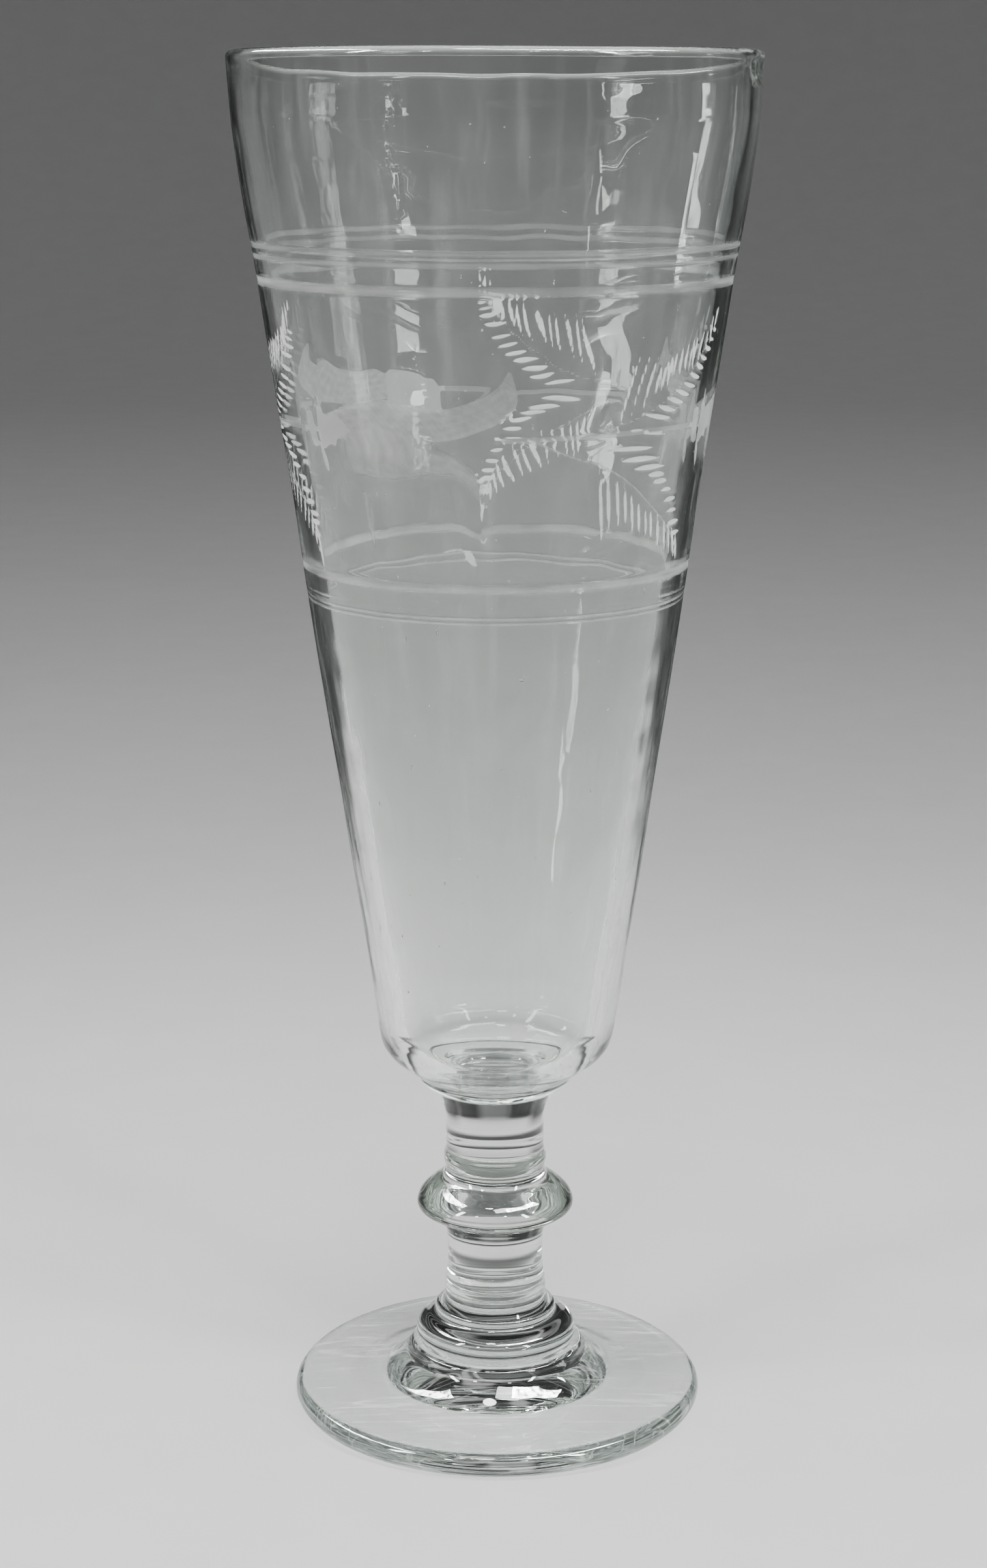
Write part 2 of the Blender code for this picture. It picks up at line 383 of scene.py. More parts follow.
# --------------------------------------------------------------------------
# the engraved band: one unit of a tulip spray and ferns, three times round
# coordinates are (degrees round the bowl from the front, height in mm)
# --------------------------------------------------------------------------
class Engraving:
    def __init__(self, azimuth, height):
        self.az, self.z = azimuth, height
        self.sd = np.full(azimuth.shape, -1.0)
        self.tone = np.zeros(azimuth.shape)

    def _near(self, pts, pad=1.2):
        az = np.array([p[0] for p in pts], float)
        z = np.array([p[1] for p in pts], float)
        mid, zm = az.mean(), z.mean()
        k = math.radians(1.0) * float(np.interp(zm, WALL_Z, WALL_R))
        d = (self.az - mid + 180.0) % 360.0 - 180.0
        x, y = d * k, self.z - zm
        px, py = (az - mid) * k, z - zm
        self.scale, self.centre = k, (mid, zm)
        keep = np.nonzero((x > px.min() - pad) & (x < px.max() + pad)
                          & (y > py.min() - pad) & (y < py.max() + pad))[0]
        return keep, x[keep], y[keep], px, py

    def _put(self, keep, sd, tone):
        old = self.sd[keep]
        win = sd > old
        self.tone[keep[win]] = tone[win] if isinstance(tone, np.ndarray) else tone
        self.sd[keep[win]] = sd[win]

    def _lay(self, keep, sd, tone):
        """Like _put, but where matt patches overlap the whiter one shows."""
        tone = np.broadcast_to(tone, sd.shape)
        both = (self.sd[keep] > 0) & (sd > 0)
        most = np.maximum(self.tone[keep], tone)
        self._put(keep, sd, tone)
        self.tone[keep[both]] = most[both]

    def needle(self, a, b, width, bow=0.0, tone=1.0, belly=0.55):
        """One cut of the wheel: pointed at both ends and widest at its belly."""
        keep, x, y, px, py = self._near((a, b), 1.2 + abs(bow))
        if not len(keep):
            return
        dx, dy = px[1] - px[0], py[1] - py[0]
        length = math.hypot(dx, dy)
        ux, uy = dx / length, dy / length
        along = (x - px[0]) * ux + (y - py[0]) * uy
        t = np.clip(along / length, 0.0, 1.0)
        across = -(x - px[0]) * uy + (y - py[0]) * ux - bow * 4 * t * (1 - t)
        power = math.log(0.5) / math.log(belly)
        half = 0.5 * width * np.sin(math.pi * t ** power) ** 0.62
        over = np.maximum(np.maximum(-along, along - length), 0.0)
        self._put(keep, np.where(over > 0, -np.hypot(across, over), half - np.abs(across)), tone)

    def line(self, pts, width, tone):
        keep, x, y, px, py = self._near(pts)
        if not len(keep):
            return
        best = np.full(x.shape, 9.0)
        for i in range(len(px) - 1):
            best = np.minimum(best, segment(x, y, px[i], py[i], px[i + 1], py[i + 1]))
        self._put(keep, 0.5 * width - best, tone)

    def patch(self, pts, tone, soft=1.0):
        """A shape filled matt; soft spreads its edge out."""
        keep, x, y, px, py = self._near(pts)
        if not len(keep):
            return
        best = np.full(x.shape, 9.0)
        inside = np.zeros(x.shape, bool)
        n = len(px)
        for i in range(n):
            x0, y0, x1, y1 = px[i], py[i], px[(i + 1) % n], py[(i + 1) % n]
            best = np.minimum(best, segment(x, y, x0, y0, x1, y1))
            cross = ((y0 > y) != (y1 > y))
            with np.errstate(divide='ignore', invalid='ignore'):
                at = (x1 - x0) * (y - y0) / (y1 - y0 if y1 != y0 else 1e-12) + x0
            inside ^= cross & (x < at)
        sd = np.where(inside, best, -best)
        if callable(tone):
            tone = tone(x / self.scale + self.centre[0], y + self.centre[1])
        if soft > 1.0:
            fade = np.clip(sd / (0.35 * soft), 0.0, 1.0)
            tone = tone * (0.15 + 0.85 * fade)
        self._lay(keep, sd, tone)


def segment(x, y, x0, y0, x1, y1):
    dx, dy = x1 - x0, y1 - y0
    t = np.clip(((x - x0) * dx + (y - y0) * dy) / max(dx * dx + dy * dy, 1e-12), 0, 1)
    return np.hypot(x - x0 - t * dx, y - y0 - t * dy)


def along(points, t):
    """A point a share t of the way along a smooth line through the points."""
    n = len(points) - 1
    u = min(max(t, 0.0), 1.0) * n
    i = min(int(u), n - 1)
    f = u - i
    p0 = points[max(i - 1, 0)]
    p1, p2 = points[i], points[i + 1]
    p3 = points[min(i + 2, n)]
    return tuple(0.5 * (2 * p1[j] + (p2[j] - p0[j]) * f
                        + (2 * p0[j] - 5 * p1[j] + 4 * p2[j] - p3[j]) * f * f
                        + (3 * p1[j] - p0[j] - 3 * p2[j] + p3[j]) * f ** 3) for j in (0, 1))


def smooth_line(points, n=24):
    return [along(points, i / (n - 1)) for i in range(n)]


def moved(points, turn, lift=0.0):
    return [(p[0] + turn, p[1] + lift) for p in points]


# Each unit of the band is a flower lying on its side.  Its stem runs off to
# the left of it, and two fern leaves grow from the stem, one up, one down,
# with their tips by the flower.  The leaves were cut freehand, so the three
# units differ.  Leaf A is the one behind the glass, leaf B the one in front.
LEAF_A = {
    "up_out": (
        [(185.0, 212.3), (183.0, 211.1), (181.6, 210.4), (180.5, 209.0), (179.6, 207.6),
         (178.5, 206.6), (176.4, 206.5), (174.5, 206.4), (171.8, 205.8), (168.4, 204.8),
         (165.5, 204.3), (162.7, 204.1), (159.8, 203.9), (156.8, 203.8), (154.1, 203.5)],
        [(183.6, 208.8), (182.4, 205.2), (180.7, 203.4), (179.6, 203.1), (178.5, 202.5),
         (177.0, 202.0), (174.2, 201.0), (171.7, 199.6), (168.6, 198.5), (165.1, 197.9),
         (162.1, 197.1), (159.1, 196.6), (155.7, 195.5), (152.6, 194.5), (149.0, 192.4)]),
    "up_in": (
        [(185.8, 205.9), (185.3, 204.6), (185.0, 203.2), (183.5, 201.6), (181.7, 199.1),
         (180.4, 197.4), (177.5, 195.8), (175.2, 194.6), (172.5, 193.3), (170.1, 192.0),
         (166.8, 190.8)],
        [(182.2, 206.2), (180.5, 205.2), (179.6, 203.8), (177.0, 202.2), (175.1, 200.0),
         (173.2, 198.3), (170.1, 196.7), (167.7, 195.4), (164.7, 194.2), (161.2, 193.0),
         (154.6, 191.8)]),
    "down_in": (
        [(166.9, 188.1), (170.2, 186.3), (173.4, 185.2), (176.2, 183.6), (178.2, 182.2),
         (181.0, 180.3), (182.3, 178.2), (183.8, 176.3), (185.1, 174.2), (185.1, 172.7),
         (184.3, 170.4)],
        [(151.7, 188.3), (158.5, 186.7), (164.0, 185.4), (167.7, 184.3), (171.0, 182.3),
         (175.1, 180.5), (176.7, 178.3), (178.1, 176.2), (179.4, 174.4), (180.0, 172.8),
         (181.1, 170.7)]),
    "down_out": (
        [(147.2, 187.5), (150.2, 186.0), (153.4, 184.9), (156.7, 184.4), (159.7, 183.8),
         (162.6, 182.9), (165.9, 182.1), (169.3, 181.0), (172.4, 179.7), (174.8, 178.7),
         (177.5, 177.5), (179.2, 175.8), (180.6, 174.4), (182.1, 172.9), (182.9, 171.8)],
        [(149.8, 181.0), (151.6, 179.4), (151.8, 177.2), (153.4, 177.0), (155.9, 176.8),
         (159.1, 176.4), (162.3, 175.3), (165.1, 174.5), (168.1, 173.8), (171.1, 172.9),
         (174.0, 171.5), (176.6, 170.7), (179.1, 169.8), (181.0, 168.0), (184.0, 164.3)]),
    "stems": (
        ([(137.0, 189.6), (147.0, 189.5), (162.0, 189.5), (176.0, 189.5), (188.0, 189.6),
          (197.0, 189.7)], 0.95, 0.33),
        ([(136.5, 190.2), (144.9, 191.2), (154.0, 192.5), (162.5, 194.5), (168.5, 196.8),
          (174.4, 199.9), (178.5, 202.6), (182.8, 206.4)], 0.36, 0.34),
        ([(137.5, 188.6), (146.9, 186.8), (155.1, 184.3), (165.5, 180.3), (173.7, 176.5),
          (178.9, 172.8), (182.6, 167.3)], 0.34, 0.28)),
}
LEAF_B = {
    "up_out": (
        [(37.2, 203.3), (40.6, 203.7), (42.8, 202.5), (44.9, 201.6), (46.6, 201.5),
         (48.2, 202.4), (50.1, 203.6), (52.0, 203.9), (54.1, 204.3), (56.3, 204.9),
         (58.2, 205.6), (61.1, 206.3), (63.8, 207.1), (65.3, 208.5), (68.2, 210.6)],
        [(31.8, 188.9), (35.8, 192.2), (39.3, 192.7), (42.9, 195.2), (45.2, 195.9),
         (47.3, 197.0), (49.1, 197.9), (51.5, 198.5), (53.8, 198.8), (55.6, 199.1),
         (57.1, 199.7), (59.4, 200.7), (62.6, 201.8), (65.2, 203.6), (66.9, 206.0)]),
    "up_in": (
        [(69.0, 205.9), (68.0, 204.2), (66.9, 202.6), (65.4, 201.0), (63.9, 199.4),
         (62.4, 197.9), (60.3, 196.5), (58.0, 195.1), (55.4, 193.9), (52.8, 192.7),
         (50.4, 191.6)],
        [(66.1, 206.0), (64.6, 204.6), (62.6, 203.2), (60.6, 201.8), (58.8, 200.5),
         (56.4, 199.0), (53.6, 197.6), (50.8, 196.5), (47.8, 195.3), (44.4, 194.1),
         (39.6, 192.9)]),
    "down_in": (
        [(36.3, 190.1), (28.8, 187.0), (34.0, 184.9), (38.6, 183.3), (43.7, 181.9),
         (46.0, 180.6), (49.9, 178.9), (52.1, 176.9), (53.8, 174.9), (55.3, 172.6),
         (57.8, 170.6)],
        [(48.8, 188.9), (45.5, 186.7), (47.3, 184.9), (50.6, 183.3), (51.2, 181.8),
         (52.6, 180.6), (55.4, 178.9), (58.4, 177.1), (59.9, 175.0), (62.1, 172.9),
         (63.4, 170.8)]),
    "down_out": (
        [(27.6, 184.8), (30.1, 183.7), (33.2, 182.3), (36.0, 181.0), (38.6, 179.4),
         (41.6, 177.8), (44.5, 176.6), (46.9, 175.9), (50.2, 174.8), (53.5, 173.9),
         (55.8, 173.1), (58.3, 172.0), (61.0, 170.6)],
        [(30.4, 170.3), (32.3, 172.9), (35.4, 173.2), (38.1, 172.9), (40.7, 171.9),
         (43.4, 171.0), (46.2, 170.5), (48.6, 169.9), (52.0, 168.8), (55.6, 167.9),
         (58.6, 167.1), (61.6, 166.3), (63.6, 165.3)]),
    "stems": (
        ([(2.0, 189.2), (11.0, 189.3), (22.0, 189.5), (34.0, 189.7), (46.0, 189.8),
          (62.5, 189.8)], 0.95, 0.33),
        ([(22.0, 189.8), (32.4, 191.1), (39.0, 192.3), (44.8, 193.8), (50.0, 195.8),
          (56.0, 198.6), (61.0, 202.0), (65.8, 206.2)], 0.36, 0.36),
        ([(6.0, 189.0), (11.4, 188.4), (16.6, 186.9), (22.0, 185.6), (27.3, 184.6),
          (33.6, 182.6), (40.2, 179.8), (47.0, 176.4), (54.0, 173.0), (60.0, 169.8)], 0.42, 0.36)),
}


def leaves(e, data, turn, rng):
    widths = {"up_out": 0.80, "up_in": 0.86, "down_in": 0.92, "down_out": 0.76}
    bows = {"up_out": 0.20, "up_in": 0.16, "down_in": 0.12, "down_out": 0.08}
    for key, width in widths.items():
        starts, ends = data[key]
        for i, (a, b) in enumerate(zip(starts, ends)):
            flip = -1 if (key == "up_out" and data is LEAF_B) else 1
            e.needle((a[0] + turn, a[1]), (b[0] + turn, b[1]),
                     width * rng.uniform(0.86, 1.14) * (0.78 if i < 2 and "up" in key else 1.0),
                     bows[key] * rng.uniform(0.5, 1.3) * flip, rng.uniform(0.88, 1.05),
                     0.5 + rng.uniform(-0.07, 0.07))
    for points, width, tone in data["stems"]:
        e.line(moved(smooth_line(points, 30), turn), width, tone)


def petal(e, upper, lower, turn, tones, streaks, soft=1.0, lift=0.0):
    """A matt petal cut in many long strokes from its root to its tip."""
    n = 40
    a = moved(smooth_line(upper, n), turn, lift)
    b = moved(smooth_line(lower, n), turn, lift)
    mid = [((p[0] + q[0]) / 2, (p[1] + q[1]) / 2) for p, q in zip(a, b)]
    keep, x, y, px, py = e._near(a + b[::-1])
    if not len(keep):
        return
    k = e.scale
    cx = [(p[0] - e.centre[0]) * k for p in mid]
    cy = [p[1] - e.centre[1] for p in mid]
    ax = [(p[0] - e.centre[0]) * k for p in a]
    ay = [p[1] - e.centre[1] for p in a]
    cx, cy, ax, ay = (np.array(v) for v in (cx, cy, ax, ay))
    d = np.hypot(x[:, None] - cx, y[:, None] - cy)
    near = d.argmin(axis=1)
    u = near / (n - 1)
    half = np.maximum(np.hypot(ax - cx, ay - cy), 0.05)[near]
    side = ((ax - cx)[near] * (x - cx[near]) + (ay - cy)[near] * (y - cy[near])) / half ** 2
    strokes = 0.5 + 0.5 * np.cos(side * math.pi * streaks + 2.2 * np.sin(u * 5.0))
    fine = 0.5 + 0.5 * np.cos(side * math.pi * (streaks * 2.6) + 3.0 + u * 2.0)
    tone = tones[0] + (tones[1] - tones[0]) * u
    grain = 0.5 + 0.5 * np.sin(x * 1.7 + 1.3 * np.sin(y * 0.9)) * np.sin(y * 2.3 + 0.8 * np.sin(x * 0.6))
    tone = tone * (0.74 + 0.12 * strokes + 0.08 * fine + 0.16 * grain)
    e.patch(a + b[::-1], tone, soft)


def flower(e, turn, far=False, droop=0.0):
    """The flower: calyx at the left, mouth at the right."""
    if far:
        # the petal that curls over, seen through the glass
        petal(e, [(-38.0, 193.4), (-33.0, 194.6), (-24.0, 194.4), (-17.0, 195.6), (-11.0, 196.8),
                  (-6.5, 196.0), (-3.4, 197.4), (-4.0, 200.2)],
              [(-43.0, 188.6), (-32.0, 187.9), (-20.0, 188.2), (-8.5, 189.2), (0.5, 190.6),
               (5.6, 193.2), (6.6, 195.6), (-3.2, 200.4)], turn, (0.52, 0.42), 5)
        petal(e, [(-15.5, 194.8), (-11.5, 196.9), (-7.6, 197.2)],
              [(-15.0, 194.4), (-11.0, 195.0), (-7.2, 196.4)], turn, (0.30, 0.26), 2)
        petal(e, [(-42.0, 187.8), (-36.0, 187.6), (-30.0, 185.6), (-26.2, 182.0), (-25.0, 176.6)],
              [(-44.0, 183.4), (-38.0, 181.6), (-32.0, 179.4), (-27.4, 177.0), (-25.2, 175.6)],
              turn, (0.30, 0.20), 4, 3.0)
        e.patch(moved(smooth_line([(-55.2, 186.0), (-55.4, 188.6), (-54.6, 190.4), (-52.4, 191.6),
                                   (-49.6, 191.9), (-47.6, 192.8), (-43.6, 193.6), (-38.6, 193.9),
                                   (-38.2, 190.0), (-39.0, 185.8), (-46.0, 185.4), (-55.2, 186.0)],
                                  60), turn), 0.54)
        return
    upper = ([(-49.0, 192.3), (-44.0, 193.2), (-38.0, 194.3), (-30.0, 195.3), (-22.0, 194.8),
              (-13.0, 194.5), (-5.4, 195.8), (-0.6, 197.6), (1.8, 199.3), (3.2, 201.2)],
             [(-49.6, 187.6), (-42.0, 188.4), (-34.0, 188.7), (-26.0, 188.6), (-17.3, 188.6),
              (-10.4, 189.3), (-4.2, 190.6), (2.0, 192.6), (5.4, 195.6), (3.9, 200.6)])
    petal(e, upper[0], upper[1], turn, (0.48, 0.34), 5)
    # the body swells out below it, cut more and more lightly downwards
    e.patch(moved([(-42.6, 192.0), (-43.4, 188.6), (-43.2, 184.8), (-42.4, 181.0), (-38.0, 179.4),
                   (-32.0, 179.6), (-27.0, 179.0), (-21.5, 180.2), (-16.0, 182.6), (-14.0, 186.0),
                   (-14.5, 190.0), (-30.0, 192.8)], turn),
            lambda az, z: 0.50 * np.clip((z - 179.6) / 7.0, 0.0, 1.0)
            * np.clip(1.12 - np.abs(az - turn + 32.0) / 34.0, 0.3, 1.0)
            * (0.90 + 0.06 * np.sin((az - turn) * 1.9 + 1.9 * np.sin(z * 0.8))
               + 0.06 * np.sin((az - turn) * 0.83 + z * 0.5)), 6.0)
    lower = ([(-40.0, 188.2), (-30.0, 188.1), (-17.3, 187.9), (-11.5, 187.0), (-6.9, 185.2),
              (-4.1, 182.9), (-3.1, 180.6 - droop), (-4.0, 177.6 - 1.6 * droop)],
             [(-40.8, 182.2), (-33.0, 181.6), (-24.0, 181.8), (-16.5, 182.6), (-11.0, 182.6),
              (-7.4, 181.2 - 0.5 * droop), (-5.4, 179.2 - droop), (-4.2, 177.2 - 1.6 * droop)])
    petal(e, lower[0], lower[1], turn, (0.34, 0.36), 4, 3.0)
    # calyx: a bar, then a block, both cut with the flat of the wheel
    e.patch(moved([(-56.6, 192.5), (-54.9, 192.9), (-53.6, 192.6), (-53.0, 190.0), (-52.2, 186.9),
                   (-53.6, 186.3), (-55.2, 186.9), (-56.4, 189.4)], turn), 0.50)
    e.patch(moved([(-51.6, 193.6), (-50.2, 194.1), (-49.3, 193.0), (-48.4, 192.1), (-44.4, 192.5),
                   (-41.6, 191.3), (-40.0, 189.6), (-42.6, 188.6), (-44.6, 188.3), (-45.2, 186.9),
                   (-47.6, 187.2), (-49.8, 186.2), (-51.4, 186.6), (-51.9, 190.0)], turn), 0.50)
    e.needle((-51.8 + turn, 187.6), (-49.6 + turn, 182.0), 1.15, 0.1, 0.55)
    e.needle((-50.6 + turn, 196.0), (-50.0 + turn, 192.6), 0.8, 0.0, 0.45)
    # loose strokes hanging from the lower petal
    for (a, b, w, t) in (((-37.4, 182.2), (-36.2, 170.4), 0.75, 0.30),
                         ((-36.0, 181.6), (-35.0, 168.8), 0.60, 0.24),
                         ((-33.6, 182.0), (-32.6, 177.8), 0.55, 0.30),
                         ((-30.8, 182.0), (-29.8, 179.0), 0.55, 0.30),
                         ((-27.0, 182.0), (-26.4, 179.8), 0.50, 0.26)):
        e.needle((a[0] + turn, a[1]), (b[0] + turn, b[1]), w, 0.1, t)


def slip(e):
    """Behind the glass the wheel slipped by the lower rings and left a scar."""
    e.line(smooth_line([(197.5, 158.9), (193.5, 159.2), (190.0, 157.9), (187.6, 156.2)], 16), 0.55, 0.55)
    e.patch([(191.4, 159.0), (188.8, 158.9), (187.4, 157.9), (186.4, 156.0), (188.4, 156.3),
             (190.8, 157.4)], 0.75)
    e.line(smooth_line([(182.6, 161.4), (184.0, 160.2), (184.8, 161.4)], 10), 0.55, 0.6)


# rings cut round the bowl: (height, width, tone, depth of the cut), in mm
RINGS = ((220.1, 1.15, 0.28, 0.04), (218.2, 1.15, 0.28, 0.04), (213.9, 1.80, 0.42, 0.08),
         (163.4, 1.70, 0.44, 0.08), (158.2, 0.55, 0.34, 0.04), (157.3, 0.55, 0.34, 0.04))


def ring_height(z, az):
    """The cutter doesn't come back quite to where the ring was begun: behind
    the glass the lower ring dips before it meets its own beginning."""
    if abs(z - 163.4) > 0.1 and abs(z - 158.2) > 0.1:
        return np.full(np.shape(az), z)
    d = (np.asarray(az) - 184.2 + 540.0) % 360.0 - 180.0       # seam at the back
    if abs(z - 158.2) < 0.1:
        return z + 0.5 * np.exp(-(d / 26.0) ** 2)
    left = np.where(d > 0, 1.9 * np.exp(-(d / 6.5) ** 2), 0.9 * np.exp(-(d / 4.0) ** 2))
    return z + 0.35 * np.exp(-((np.abs(d) - 22.0) / 16.0) ** 2) - left


# --------------------------------------------------------------------------
# the bowl
# --------------------------------------------------------------------------
WALL = [(73.7, 22.0), (85.5, 23.7), (96.8, 25.4), (109.4, 27.3), (121.9, 29.0),
        (134.2, 30.9), (146.4, 32.7), (163.0, 35.0), (175.0, 36.5), (189.2, 38.7),
        (205.5, 41.1), (216.0, 42.6), (228.3, 44.75), (240.0, 46.4), (TOP - 2.6, R_RIM - 0.06)]
WALL_Z = np.array([w[0] for w in WALL])
WALL_R = np.array([w[1] for w in WALL])


def wall_radius(z):
    """Outside radius, eased between the stations."""
    t = np.asarray(z, float)
    return (np.interp(t - 2.5, WALL_Z, WALL_R) + 2 * np.interp(t, WALL_Z, WALL_R)
            + np.interp(t + 2.5, WALL_Z, WALL_R)) / 4.0


FLOOR = 68.1
THICK_Z = [72.0, 80.0, 110.0, 165.0, 242.0, 247.0, TOP - 2.6]
THICK_T = [5.4, 5.1, 4.5, 3.7, 2.05, 2.25, 2.62]


def wall_thickness(z):
    return np.interp(np.asarray(z, float), THICK_Z, THICK_T)


def bowl_rows():
    inner = spline([(0.0, FLOOR + 0.25), (3.0, FLOOR + 0.12), (7.0, FLOOR + 0.1),
                    (11.3, FLOOR + 0.55), (14.2, FLOOR + 1.9), (16.0, FLOOR + 4.2),
                    (17.1, FLOOR + 7.2),
                    (float(wall_radius(80.5) - wall_thickness(80.5)), 80.5)], 0.7)[:-1]
    z = 80.5
    while z < TOP - 7.0:
        inner.append((float(wall_radius(z) - wall_thickness(z)), z))
        z += 2.4 if z < 235 else 1.2
    bead = wall_thickness(TOP - 2.6) / 2
    centre_r, centre_z = R_RIM - bead - 0.01, TOP - bead
    z = TOP - 6.2
    while z < centre_z - 0.5:
        t = (z - (TOP - 6.2)) / (centre_z - (TOP - 6.2))
        a = float(wall_radius(TOP - 6.2) - wall_thickness(TOP - 6.2))
        inner.append((a + (centre_r - bead - a) * (3 * t * t - 2 * t ** 3), z))
        z += 0.7
    for i in range(13):
        a = math.pi * i / 12
        inner.append((centre_r - bead * math.cos(a), centre_z + bead * math.sin(a)))
    outer = []
    z = centre_z - 0.35
    while z > 74.4:
        outer.append((float(wall_radius(z)) if z < TOP - 5 else
                      float(np.interp(z, [TOP - 5, centre_z], [wall_radius(TOP - 5), R_RIM - 0.01])), z))
        if z > TOP - 9:
            z -= 0.42
        elif z > 222.0:
            z -= 1.3
        elif z > 216.5:
            z -= 0.22
        elif z > 162.0:
            z -= 0.40
        elif z > 159.4:
            z -= 0.65
        elif z > 156.4:
            z -= 0.13
        else:
            z -= 1.6
    shoulder = spline([(22.1, 74.2), (21.75, 72.6), (21.3, 71.3), (20.15, 69.7), (18.8, 68.5),
                       (17.0, 67.1), (15.8, 66.2), (14.9, Z_SEAT)], 0.5)
    joint = 14.3
    return rows_of((inner + outer + shoulder, GLASS), ([(joint, Z_SEAT)], FUSED),
                   (disc(joint, Z_SEAT, False), FUSED)), len(inner), len(inner) + len(outer)


ROWS, FIRST_OUT, LAST_OUT = bowl_rows()
COUNT = 480
CHIP_AT = math.radians(90.0 - 11.0)                 # from the front towards +X


def bowl_shape(theta, r, z, row):
    az = np.degrees(theta)
    outer = row >= FIRST_OUT - 7
    fade = np.clip((z - 76.0) / 20.0, 0, 1)
    if outer:
        bump = ripple(theta, z, 11, 0.0050) * fade * np.clip((TOP - z) / 24.0, 0.25, 1)
    else:
        bump = ripple(theta, z, 23, 0.0070) + uneven(theta, z, 29)
        bump = bump * fade * np.clip((TOP - z) / 24.0, 0.20, 1)
    r = r + np.clip(bump, -0.12, 0.12) - 0.05 * np.clip((z - 225) / 20, 0, 1)
    if FIRST_OUT <= row < LAST_OUT:
        for height, width, tone, depth in RINGS:
            if abs(z[0] - height) < width + 1.6:
                d = np.abs(z - ring_height(height, az)) / (width / 2)
                r = r - depth * np.clip(1 - d ** 2, 0, 1)
    # a little unevenness of the fire-polished rim
    lift = np.clip((z - (TOP - 8)) / 8, 0, 1)
    z = z - lift * (0.10 + 0.07 * np.sin(2 * theta + 0.8) + 0.03 * np.sin(5 * theta))
    return chip(theta, r, z)


def chip(theta, r, z):
    """The flake lost from the outer side of the rim: points inside the scoop
    are pushed back on to its surface, with the ripples of broken glass."""
    x = r * np.sin(theta)
    y = -r * np.cos(theta)
    ux, uy = math.sin(CHIP_AT), -math.cos(CHIP_AT)
    a, b, c = 4.0, 26.0, 4.1
    centre = R_RIM + a - 1.5
    out = x * ux + y * uy
    side = -x * uy + y * ux
    up = z - (TOP - 3.5)
    q = 1 - (side / b) ** 2 - (up / c) ** 2
    hit = (q > 0) & (out > 0)
    shell = (0.05 * np.sin(np.hypot(side * 0.55 + 2.0, up * 1.3 + 2.6) * 3.1)
             + 0.45 * np.exp(-((side + 5.0) / 2.6) ** 2 - ((up - 0.2) / 1.3) ** 2)
             + 0.12 * np.sin(side * 1.3 + 0.6) * np.exp(-(up / 2.5) ** 2))
    floor_out = centre - a * np.sqrt(np.clip(q, 0, 1)) - shell * np.clip(q * 6 - 2.2, 0, 1)
    bite = hit & (floor_out < out)
    out2 = np.where(bite, floor_out, out)
    x2 = out2 * ux - side * uy
    y2 = out2 * uy + side * ux
    return np.where(bite, np.hypot(x2, y2), r), z


bowl, bowl_index = turned("bowl_glass", ROWS, COUNT, bowl_shape)
theta = np.arange(COUNT) * (2 * math.pi / COUNT)
az_all, z_all, ids = [], [], []
for i in range(FIRST_OUT, LAST_OUT):
    start, n = bowl_index[i]
    az_all.append((np.degrees(theta) + 180.0) % 360.0 - 180.0)
    z_all.append(np.full(n, ROWS[i][1]))
    ids.append(np.arange(start, start + n))
az_all, z_all, ids = (np.concatenate(v) for v in (az_all, z_all, ids))
e = Engraving(az_all, z_all)
for i, (height, width, tone, depth) in enumerate(RINGS):
    t = np.radians(az_all)
    breadth = width * (1 + 0.07 * np.sin(3 * t + i) + 0.06 * np.sin(7 * t + 2 * i) + 0.04 * np.sin(17 * t))
    sd = breadth / 2 - np.abs(z_all - ring_height(height, az_all))
    near = np.nonzero(sd > -1.0)[0]
    matt = tone * (1 + 0.16 * np.sin(2 * t + 1.7 * i) + 0.12 * np.sin(9 * t + i) + 0.08 * np.sin(23 * t))
    matt = matt * np.clip(0.45 + 1.1 * sd / (width / 2), 0.3, 1.0)
    e._put(near, sd[near], matt[near])
rng = np.random.RandomState(3)
flower(e, 0.0)
flower(e, 118.0, droop=2.4)
flower(e, 251.4, far=True)
for data, turn in ((LEAF_A, 0.0), (LEAF_B, 0.0), (LEAF_A, -243.0)):
    cuts = Engraving(az_all, z_all)
    leaves(cuts, data, turn, rng)
    win = np.nonzero(cuts.sd > -0.6)[0]
    better = (cuts.sd[win] > -0.12) | (cuts.sd[win] > e.sd[win])
    win = win[better]
    inside = cuts.sd[win] > -0.05
    e.tone[win] = np.where(inside, np.maximum(cuts.tone[win], e.tone[win]), 
                           np.where(cuts.sd[win] > e.sd[win], cuts.tone[win], e.tone[win]))
    e.sd[win] = np.maximum(cuts.sd[win], e.sd[win])
slip(e)
# cut the marks into the wall
mesh = bowl.data
co = np.empty(len(mesh.vertices) * 3, np.float32)
mesh.vertices.foreach_get("co", co)
co = co.reshape(-1, 3)
ring_only = np.zeros(len(ids), bool)
for height, width, tone, depth in RINGS:
    ring_only |= np.abs(z_all - ring_height(height, az_all)) < width / 2
dig = np.clip(e.sd / 0.45, 0, 1) * 0.14 * np.clip(e.tone, 0.25, 1.0)
dig[ring_only] = 0.0
rad = np.hypot(co[ids, 0], co[ids, 1])
co[ids, 0] *= 1 - dig * MM / rad
co[ids, 1] *= 1 - dig * MM / rad
mesh.vertices.foreach_set("co", co.ravel())
frost = np.full(len(mesh.vertices), -1.0, np.float32)
frost[ids] = np.clip(e.sd, -1, 1)
tone = np.zeros(len(mesh.vertices), np.float32)
tone[ids] = e.tone
for key, values in (("frost", frost), ("frost_tone", tone)):
    attribute = mesh.attributes.new(key, 'FLOAT', 'POINT')
    attribute.data.foreach_set("value", values)
mesh.update()

